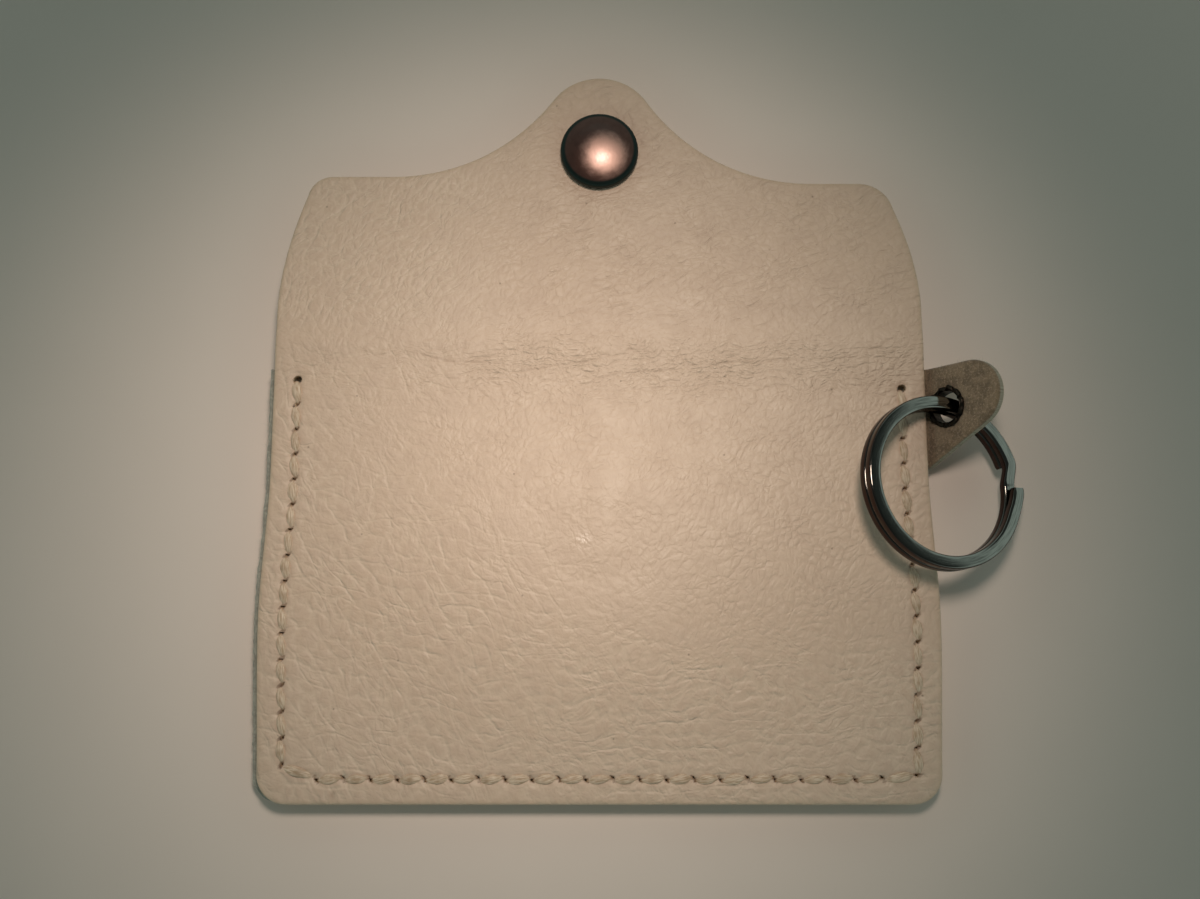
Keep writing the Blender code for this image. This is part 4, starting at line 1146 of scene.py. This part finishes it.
# Long wrinkles of the milled hide, in millimetres: where they lie, how far apart and at what
# angle they run, how much they wander, their half width, and their depth as a share.
LONG_WRINKLES = (
    ("open_grain", 2.3, -60, 0.9, 0.34, 0.56),
    ("open_grain", 2.4, -10, 1.1, 0.34, 0.58),
    ("level_grain", 1.9, 2, 1.1, 0.34, 0.62),
    ("level_grain", 2.8, -50, 1.4, 0.32, 0.42),
    ("even_grain", 2.4, 62, 1.6, 0.32, 0.26),
    ("flap_left_grain", 1.7, 38, 1.1, 0.30, 0.68),
    ("flap_left_grain", 2.2, 74, 1.2, 0.30, 0.54),
    ("flap_grain", 1.7, 24, 1.2, 0.30, 0.62),
    ("fold_band", 0.85, 3, 1.5, 0.22, 0.80),
    ("fold_band", 1.3, 24, 1.4, 0.22, 0.50),
    ("fold_band", 1.5, -30, 1.5, 0.22, 0.44),
)

# Pebbles between them: where they lie, their breadth, how far they are drawn out and at what
# angle, and the half width and the depth of the valley round each.
PEBBLES = (
    ("open_grain", 2.3, 1.2, -50, 0.85, 0.85),
    ("open_grain", 1.05, 1.2, -30, 0.26, 0.26),
    ("level_grain", 2.0, 1.3, 0, 0.80, 0.95),
    ("level_grain", 0.95, 1.2, 8, 0.26, 0.32),
    ("even_grain", 1.9, 1.1, 30, 0.65, 0.70),
    ("even_grain", 1.0, 1.2, 74, 0.26, 0.40),
    ("flap_left_grain", 1.7, 1.4, 52, 0.60, 0.80),
    ("flap_left_grain", 0.90, 1.3, 40, 0.24, 0.42),
    ("flap_grain", 1.8, 1.3, 20, 0.60, 0.60),
    ("flap_grain", 0.95, 1.4, 20, 0.24, 0.48),
    ("fold_band", 1.7, 1.8, 4, 0.60, 0.75),
    ("fold_band", 0.75, 2.2, 2, 0.20, 0.62),
)


def new_look(name):
    look = bpy.data.materials.new(name)
    look.use_nodes = True
    look.node_tree.nodes.clear()
    return look


def add_node(look, kind, settings=None, **inputs):
    """Adds a node with its settings and links.

    An input goes by its name, or by its number as i0, i1 and so on. It is a value, or a node
    with the name or number of the output that feeds it.
    """
    node = look.node_tree.nodes.new("ShaderNode" + kind)
    for key, value in (settings or {}).items():
        setattr(node, key, value)
    for key, value in inputs.items():
        spot = node.inputs[int(key[1:]) if key[1:].isdigit() else key.replace("_", " ")]
        if isinstance(value, tuple) and isinstance(value[0], bpy.types.Node):
            look.node_tree.links.new(value[0].outputs[value[1]], spot)
        else:
            spot.default_value = value
    return node


def tinted(look, under, source, low, high, most, shade, fall="LINEAR"):
    """Lays a shade over the tint under it: none where the source is low, and up to the most.

    The tint that comes back is a node with the number of its output.
    """
    amount = add_node(look, "MapRange", {"interpolation_type": fall}, Value=source,
                      From_Min=low, From_Max=high, To_Max=most)
    layer = add_node(look, "Mix", {"data_type": "RGBA"}, i0=(amount, 0), i6=under,
                     i7=colour(shade))
    return layer, 2


def ivory_leather():
    """Full-grain cowhide, drum dyed cream, milled soft and lightly waxed.

    The eye sees a warm cream with a fine net of wrinkles between low pebbles. At the lower left
    the net is open and slants, and its lines are painted a little lighter than the pebbles, as a
    painted highlight on their lit walls; elsewhere the lines are painted darker, as painted shade
    in the valleys. Along the bottom it runs level, at the right it is tight and even, on the flap
    it is drawn out into streaks, and the fold is crowded with short level wrinkles. The even
    grain and the fold band are painted paler, as painted light. Creases, the nick and the awl
    holes are painted darker, as painted shade. The wax gives a dull gloss, with a rubbed patch
    over the stud.
    """
    look = new_look("ivory_leather")
    hide = add_node(look, "UVMap", {"uv_map": "hide_mm"})
    share = {}
    for name in GRAIN_ZONES + ("fold_band", "crease", "cut_edge", "awl_hole", "rubbed"):
        share[name] = add_node(look, "Attribute", {"attribute_name": name})
    place = (hide, "UV")
    for size, reach in ((9.0, 1.5), (2.2, 0.35)):
        swirl = add_node(look, "TexNoise", {"noise_dimensions": "2D"}, Vector=place,
                         Scale=1 / size, Detail=1.0)
        push = add_node(look, "VectorMath", {"operation": "MULTIPLY_ADD"}, i0=(swirl, "Color"),
                        i1=(2 * reach,) * 3, i2=(-reach,) * 3)
        place = (add_node(look, "VectorMath", {"operation": "ADD"}, i0=place, i1=(push, 0)), 0)

    valleys = []
    for k, (zone, apart, turn, wander, line, deep) in enumerate(LONG_WRINKLES):
        laid = add_node(look, "Mapping", {"vector_type": "TEXTURE"}, Vector=place,
                        Location=(5.7 * k, 4.9 * k, 0.0), Rotation=(0.0, 0.0, radians(turn)),
                        Scale=(apart, apart, 1.0))
        course = add_node(look, "TexWave", {"bands_direction": "Y", "wave_profile": "TRI"},
                          Vector=(laid, 0), Scale=pi / 10, Distortion=2 * pi * wander,
                          Detail=2.0, Detail_Scale=0.45, Detail_Roughness=0.45)
        patch = add_node(look, "TexNoise", {"noise_dimensions": "2D"}, Vector=(laid, 0),
                         Scale=0.55, Detail=1.0)
        kept = add_node(look, "MapRange", {}, Value=(patch, 0), From_Min=0.36, From_Max=0.58,
                        To_Min=0.2 * deep, To_Max=deep)
        valley = add_node(look, "MapRange", {"interpolation_type": "SMOOTHSTEP"},
                          Value=(course, "Fac"), From_Max=2 * line / apart, To_Min=1.0,
                          To_Max=0.0)
        valleys.append((zone, add_node(look, "Math", {"operation": "MULTIPLY"}, i0=(valley, 0),
                                       i1=(kept, 0))))
    for k, (zone, size, drawn, turn, line, deep) in enumerate(PEBBLES):
        laid = add_node(look, "Mapping", {"vector_type": "TEXTURE"}, Vector=place,
                        Location=(7.3 * k, 3.1 * k, 0.0), Rotation=(0.0, 0.0, radians(turn)),
                        Scale=(size * drawn, size, 1.0))
        net = add_node(look, "TexVoronoi", {"voronoi_dimensions": "2D",
                       "feature": "DISTANCE_TO_EDGE"}, Vector=(laid, "Vector"), Scale=1.0)
        valleys.append((zone, add_node(look, "MapRange", {"interpolation_type": "SMOOTHSTEP"},
                                       Value=(net, "Distance"), From_Max=line / size,
                                       To_Min=deep, To_Max=0.0)))
    depth = {"light": None, "dark": None}
    for zone, valley in valleys:
        kept = add_node(look, "Math", {"operation": "MULTIPLY"}, i0=(valley, 0),
                        i1=(share[zone], "Fac"))
        # Lines of the open, level and flap-left grain are painted lighter, a painted highlight on
        # their lit walls; the rest are painted darker, a painted shade in the valleys.
        tone = "light" if zone in ("open_grain", "level_grain", "flap_left_grain") else "dark"
        if depth[tone]:
            kept = add_node(look, "Math", {"operation": "ADD"}, i0=(kept, 0), i1=(depth[tone], 0))
        depth[tone] = kept
    noise = {}
    for part, scale, detail, rough in (("fading", 0.17, 2.0, 0.5), ("broad", 0.035, 3.0, 0.5),
                                       ("cloud", 0.25, 4.0, 0.5), ("mottle", 0.9, 3.0, 0.6),
                                       ("pores", 2.2, 3.0, 0.6)):
        noise[part] = add_node(look, "TexNoise", {"noise_dimensions": "2D"},
                               Vector=(hide, "UV"), Scale=scale, Detail=detail,
                               Roughness=rough)
    fading = add_node(look, "MapRange", {}, Value=(noise["fading"], 0), From_Min=0.34,
                      From_Max=0.60, To_Min=0.60, To_Max=1.0)
    for tone in depth:
        depth[tone] = add_node(look, "Math", {"operation": "MULTIPLY"}, i0=(depth[tone], 0),
                               i1=(fading, 0))

    pore = add_node(look, "TexVoronoi", {"voronoi_dimensions": "2D"}, Vector=(hide, "UV"),
                    Scale=0.045)
    tint = (add_node(look, "Mix", {"data_type": "RGBA"}, i0=(noise["broad"], 0),
                     i6=colour("DABEA8"), i7=colour("D8BAA2")), 2)
    for layer in (
            ((noise["cloud"], 0), 0.42, 0.68, 0.45, "D2B5A0"),
            ((noise["mottle"], 0), 0.50, 0.70, 0.45, "E0C4AF"),
            # Painted light: the even grain and the fold band are painted paler.
            ((share["even_grain"], "Fac"), 0.20, 1.00, 0.30, "E9CEB7"),
            ((share["fold_band"], "Fac"), 0.10, 1.00, 0.25, "E9CEB7"),
            # Painted highlight on the lit walls of the lighter lines, and painted shade in the
            # darker valleys.
            ((depth["light"], 0), 0.25, 1.10, 0.34, "EBD2BA"),
            ((depth["dark"], 0), 0.15, 1.00, 0.20, "C09F89"),
            # Painted shade in the creases and the nick.
            ((share["crease"], "Fac"), 0.20, 1.00, 0.42, "A58873"),
            ((share["cut_edge"], "Fac"), 0.10, 1.00, 0.45, "C8AC8E"),
            # Painted shade in the awl holes.
            ((share["awl_hole"], "Fac"), 0.15, 0.85, 0.90, "6A4A34"),
            ((pore, "Distance"), 0.010, 0.000, 0.65, "6A5140")):
        tint = tinted(look, tint, *layer)

    height = add_node(look, "Math", {"operation": "MULTIPLY"}, i0=(noise["pores"], 0), i1=0.45)
    for tone in depth:
        height = add_node(look, "Math", {"operation": "SUBTRACT"}, i0=(height, 0),
                          i1=(depth[tone], 0))
    relief = add_node(look, "Bump", Strength=1.0, Distance=0.0001, Height=(height, 0))
    dull = add_node(look, "MapRange", {}, Value=(noise["cloud"], 0), From_Min=0.3, From_Max=0.7,
                    To_Min=0.44, To_Max=0.54)
    gloss = add_node(look, "Math", {"operation": "MULTIPLY_ADD"}, i0=(share["rubbed"], "Fac"),
                     i1=-0.24, i2=(dull, 0))
    shader = add_node(look, "BsdfPrincipled", Base_Color=tint, Roughness=(gloss, 0),
                      Specular_IOR_Level=0.42, Normal=(relief, 0))
    add_node(look, "OutputMaterial", Surface=(shader, 0))
    return look


def suede(name, dark, mid, pale):
    """The hide's flesh side, buffed: matt and blotchy, with a short nap that catches light.

    The nap's own fibres are 0.02 mm thick, so it is drawn as clumps of 0.15 to 0.3 mm.
    """
    look = new_look(name)
    hide = add_node(look, "UVMap", {"uv_map": "hide_mm"})
    noise = {}
    tint = colour(mid)
    for part, scale, *layer in (("blotch", 0.5, 0.42, 0.62, 0.65, dark),
                                ("nap", 2.6, 0.50, 0.70, 0.75, pale),
                                ("speck", 6.5, 0.58, 0.70, 0.80, dark)):
        noise[part] = add_node(look, "TexNoise", {"noise_dimensions": "2D"},
                               Vector=(hide, "UV"), Scale=scale, Detail=4.0, Roughness=0.65)
        tint = tinted(look, tint, (noise[part], 0), *layer)
    height = add_node(look, "Math", {"operation": "ADD"}, i0=(noise["nap"], 0),
                      i1=(noise["speck"], 0))
    relief = add_node(look, "Bump", Strength=0.9, Distance=0.00012, Height=(height, 0))
    shader = add_node(look, "BsdfPrincipled", Base_Color=tint, Roughness=0.95,
                      Specular_IOR_Level=0.15, Sheen_Weight=0.25, Sheen_Roughness=0.55,
                      Normal=(relief, 0))
    add_node(look, "OutputMaterial", Surface=(shader, 0))
    return look


def cut_edge(name, pale, deep):
    """A hide's knife-cut edge: packed fibres, lighter and darker by layers."""
    look = new_look(name)
    hide = add_node(look, "UVMap", {"uv_map": "hide_mm"})
    fibre = add_node(look, "TexNoise", {"noise_dimensions": "2D"}, Vector=(hide, "UV"),
                     Scale=5.0, Detail=4.0, Roughness=0.7)
    tint = tinted(look, colour(pale), (fibre, 0), 0.35, 0.68, 1.0, deep)
    relief = add_node(look, "Bump", Strength=0.7, Distance=0.0001, Height=(fibre, 0))
    shader = add_node(look, "BsdfPrincipled", Base_Color=tint, Roughness=0.9,
                      Specular_IOR_Level=0.2, Normal=(relief, 0))
    add_node(look, "OutputMaterial", Surface=(shader, 0))
    return look


def waxed_thread():
    """Cream linen thread, waxed: parallel filaments, a soft gloss, and wax darkened with dirt.

    A filament is 0.03 mm thick, so the thread is drawn with thirteen broader ones round it.
    """
    look = new_look("cream_waxed_thread")
    along = add_node(look, "UVMap", {"uv_map": "along_mm"})
    drawn = add_node(look, "Mapping", Vector=(along, "UV"), Scale=(26.0, 0.8, 1.0))
    filament = add_node(look, "TexNoise", {"noise_dimensions": "2D"}, Vector=(drawn, 0),
                        Scale=1.0, Detail=2.0)
    dirt = add_node(look, "TexNoise", {"noise_dimensions": "2D"}, Vector=(along, "UV"),
                    Scale=0.55, Detail=3.0)
    tint = tinted(look, colour("E4CCB4"), (filament, 0), 0.38, 0.64, 0.85, "BB9A7C")
    tint = tinted(look, tint, (dirt, 0), 0.48, 0.74, 0.45, "A08064")
    relief = add_node(look, "Bump", Strength=0.9, Distance=0.00005, Height=(filament, 0))
    shader = add_node(look, "BsdfPrincipled", Base_Color=tint, Roughness=0.5,
                      Normal=(relief, 0))
    add_node(look, "OutputMaterial", Surface=(shader, 0))
    return look


def handled_metal(look, grain, scratches):
    """Haze in cloudy patches, and hair scratches that run one way."""
    spot = add_node(look, "TexCoord")
    haze = add_node(look, "TexNoise", Vector=(spot, "Generated"), Scale=grain, Detail=4.0,
                    Roughness=0.6)
    brushed = add_node(look, "Mapping", Vector=(spot, "Generated"), Rotation=(0.0, 0.0, 0.7),
                       Scale=scratches)
    hair = add_node(look, "TexNoise", Vector=(brushed, 0), Scale=3.0, Detail=2.0, Roughness=0.6)
    return spot, haze, hair


def rubbed_cap_with_painted_glow():
    """Black nickel plate on a pressed brass cap, lacquered and handled.

    The eye sees a crown rubbed to a warm copper pink, where the lamp glows round a white glint,
    a dark brown dome about it, and a blue-black shoulder and wall. The copper-pink patch is
    partly real rubbed plate and partly a painted highlight, set below and right of the crown to
    draw the lamp's glow out there. The blue-black of the shoulder and wall is a painted dark
    reflection.
    """
    look = new_look("cap_black_nickel")
    spot, haze, hair = handled_metal(look, 7.0, (50.0, 6.0, 6.0))
    flat = add_node(look, "VectorMath", {"operation": "MULTIPLY"}, i0=(spot, "Generated"),
                    i1=(1.0, 1.0, 0.0))
    stray = add_node(look, "Math", {"operation": "MULTIPLY_ADD"}, i0=(haze, 0), i1=0.16, i2=-0.08)
    tint = (add_node(look, "Mix", {"data_type": "RGBA"}, i0=(haze, 0), i6=colour("4E3833"),
                     i7=colour("6B4E46")), 2)
    from_rub_and_glow, from_crown = (
        add_node(look, "VectorMath", {"operation": "DISTANCE"}, i0=(flat, 0), i1=middle)
        for middle in ((0.575, 0.405, 0.0), (0.5, 0.5, 0.0)))
    ragged = add_node(look, "Math", {"operation": "ADD"}, i0=(from_rub_and_glow, "Value"), i1=(stray, 0))
    # Painted highlight: a copper-pink patch, partly real rubbed plate, set below and right of the
    # crown to draw out the lamp's glow.
    tint = tinted(look, tint, (ragged, 0), 0.35, 0.17, 0.95, "D2A899", "SMOOTHSTEP")
    # Painted dark reflection: the shoulder and wall are tinted blue-black.
    tint = tinted(look, tint, (from_crown, "Value"), 0.425, 0.455, 1.0, "28322F", "SMOOTHSTEP")
    lacquer = add_node(look, "MapRange", {}, Value=(from_crown, "Value"), From_Min=0.20,
                       From_Max=0.34, To_Min=1.0, To_Max=0.05)
    gloss = add_node(look, "MapRange", {}, Value=(hair, 0), From_Min=0.35, From_Max=0.65,
                     To_Min=0.40, To_Max=0.52)
    relief = add_node(look, "Bump", Strength=0.8, Distance=0.00002, Height=(hair, 0))
    shader = add_node(look, "BsdfPrincipled", Base_Color=tint, Metallic=1.0,
                      Roughness=(gloss, 0), Coat_Weight=(lacquer, 0), Coat_Roughness=0.27,
                      Normal=(relief, 0))
    add_node(look, "OutputMaterial", Surface=(shader, 0))
    return look


def nickel_plate(name, tint, worn, low, high, grain):
    """Black nickel plate on pressed steel: a dark mirror with haze, rubs and hair scratches.

    The haze lies in cloudy patches some tenths of the piece across, and the scratches run
    one way at a few to a millimetre.
    """
    look = new_look(name)
    _, haze, hair = handled_metal(look, grain, (60.0, 4.0, 4.0))
    plate = tinted(look, colour(tint), (haze, 0), 0.36, 0.64, 1.0, worn)
    gloss = add_node(look, "MapRange", {}, Value=(haze, 0), From_Min=0.32, From_Max=0.70,
                     To_Min=low, To_Max=high)
    relief = add_node(look, "Bump", Strength=0.4, Distance=0.00001, Height=(hair, 0))
    shader = add_node(look, "BsdfPrincipled", Base_Color=plate, Metallic=1.0,
                      Roughness=(gloss, 0), Normal=(relief, 0))
    add_node(look, "OutputMaterial", Surface=(shader, 0))
    return look


def wound_wire():
    """Black nickel plate on hard flat wire, wound and then polished by keys.

    The eye sees two flat faces like a dark bluish mirror with fine lines along the wire, and
    walls and edges painted a darker brown, as painted shade.
    """
    look = new_look("ring_black_nickel")
    along = add_node(look, "UVMap", {"uv_map": "along_mm"})
    part = add_node(look, "SeparateXYZ", Vector=(along, "UV"))
    from_shaded_wall = add_node(look, "Math", {"operation": "PINGPONG"}, i0=(part, "X"), i1=0.25)
    drawn = add_node(look, "Mapping", Vector=(along, "UV"), Scale=(44.0, 0.30, 1.0))
    streak = add_node(look, "TexNoise", {"noise_dimensions": "2D"}, Vector=(drawn, 0), Scale=1.0,
                      Detail=2.0)
    # Painted shade: the walls are tinted a darker brown than the pale faces.
    tint = tinted(look, colour("3C2E2A"), (from_shaded_wall, 0), 0.05, 0.125, 1.0, "959089",
                  "SMOOTHSTEP")
    tint = tinted(look, tint, (streak, 0), 0.46, 0.70, 0.55, "4A4642")
    gloss = add_node(look, "MapRange", {}, Value=(streak, 0), From_Min=0.35, From_Max=0.65,
                     To_Min=0.05, To_Max=0.11)
    relief = add_node(look, "Bump", Strength=0.3, Distance=0.00001, Height=(streak, 0))
    shader = add_node(look, "BsdfPrincipled", Base_Color=tint, Metallic=1.0,
                      Roughness=(gloss, 0), Normal=(relief, 0))
    add_node(look, "OutputMaterial", Surface=(shader, 0))
    return look


def table_board():
    """A matt white laminate board, faintly uneven."""
    look = new_look("pale_board")
    spot = add_node(look, "TexCoord")
    uneven = add_node(look, "TexNoise", Vector=(spot, "Object"), Scale=60.0, Detail=4.0)
    tint = add_node(look, "Mix", {"data_type": "RGBA"}, i0=(uneven, 0), i6=colour("F4E2D6"),
                    i7=colour("F0DED2"))
    shader = add_node(look, "BsdfPrincipled", Base_Color=(tint, 2), Roughness=0.85,
                      Specular_IOR_Level=0.2)
    add_node(look, "OutputMaterial", Surface=(shader, 0))
    return look


# Table, light and camera

def add_table():
    half = 0.6
    corners = [(-half, -half, 0), (half, -half, 0), (half, half, 0), (-half, half, 0)]
    mesh = new_mesh("table_top", corners, [(0, 1, 2, 3)], [table_board()], smooth=False)
    placed("table_top", mesh)


def add_lamp(name, place, aim, size, spread, power, tint):
    data = bpy.data.lights.new(name, "AREA")
    data.shape = "DISK"
    data.size = size
    data.spread = spread
    data.energy = power
    data.color = colour(tint)[:3]
    lamp = placed(name, data)
    lamp.location = place
    lamp.rotation_euler = (Vector(aim) - Vector(place)).to_track_quat("-Z", "Y").to_euler()


def add_world(tint, at_walls, overhead):
    """Light from a room's pale walls, and less from its ceiling."""
    world = bpy.data.worlds.new("room_light")
    bpy.context.scene.world = world
    world.use_nodes = True
    world.node_tree.nodes.clear()
    spot = add_node(world, "TexCoord")
    part = add_node(world, "SeparateXYZ", Vector=(spot, "Generated"))
    level = add_node(world, "MapRange", {"interpolation_type": "SMOOTHSTEP"}, Value=(part, "Z"),
                     From_Min=0.532, From_Max=0.552, To_Min=at_walls, To_Max=overhead)
    light = add_node(world, "Background", Color=colour(tint), Strength=(level, 0))
    add_node(world, "OutputWorld", Surface=(light, 0))


def add_camera():
    """Looks down at the wallet as the photograph does, with 10 degrees of tilt."""
    data = bpy.data.cameras.new("view_of_the_photograph")
    data.sensor_width = 36.0
    data.lens = 36.39
    data.clip_start = 0.005
    camera = placed("view_of_the_photograph", data)
    camera.location = (0.0001, -0.0176, 0.1894)
    camera.rotation_euler = (radians(10.0), 0.0, 0.0)
    bpy.context.scene.camera = camera


def dress_wallet():
    leather = ivory_leather()
    flesh = suede("grey_suede", "8A857A", "ABA79A", "C6C2B6")
    tab_suede = suede("tab_suede", "604F3D", "8E7860", "B1967E")
    pale_cut = cut_edge("cut_edge_cream", "DCC9AC", "B79C7B")
    grey_cut = cut_edge("cut_edge_grey", "D8D2C4", "AEA898")
    tab_cut = cut_edge("cut_edge_tab", "B5AB99", "8A7F70")
    thread = waxed_thread()
    cap_plate = rubbed_cap_with_painted_glow()
    ring_plate = wound_wire()
    eyelet_plate = nickel_plate("eyelet_dark_steel", "3A332C", "241F1B", 0.32, 0.55, 9.0)
    spring = nickel_plate("spring_wire", "B4B4B8", "A4A4A8", 0.2, 0.3, 6.0)
    stud_plate = nickel_plate("stud_black_nickel", "55504F", "68605D", 0.14, 0.28, 7.0)

    make_back_leather([leather, flesh, pale_cut])
    make_flap_leather([leather, flesh, pale_cut])
    make_front_leather([flesh, leather, grey_cut])
    make_tab_leather([tab_suede, leather, tab_cut])
    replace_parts(make_thread("needle_thread_a", True, thread, 501), "saddle_thread_a")
    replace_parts(make_thread("needle_thread_b", False, thread, 502), "saddle_thread_b")
    make_cap(cap_plate)
    make_eyelet(eyelet_plate)
    make_ring(ring_plate)
    edge_fibres(grey_cut)
    tab_fibres(tab_cut)
    for node, look in (("snap_stud", stud_plate), ("stud_post", stud_plate),
                       ("cap_post", stud_plate), ("snap_socket", stud_plate),
                       ("socket_spring", spring)):
        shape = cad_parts[node]
        for spot in shape.material_slots:
            spot.material = look


bpy.context.scene.view_settings.view_transform = "Standard"
add_camera()
add_table()
add_lamp("studio_lamp", place=(0.0112, 0.0702, 0.199), aim=(-0.0103, 0.0074, 0.0), size=0.05,
         spread=radians(54.2), power=0.0274, tint="FFF3E7")
add_world("E2FFF8", at_walls=0.54, overhead=0.047)
dress_wallet()
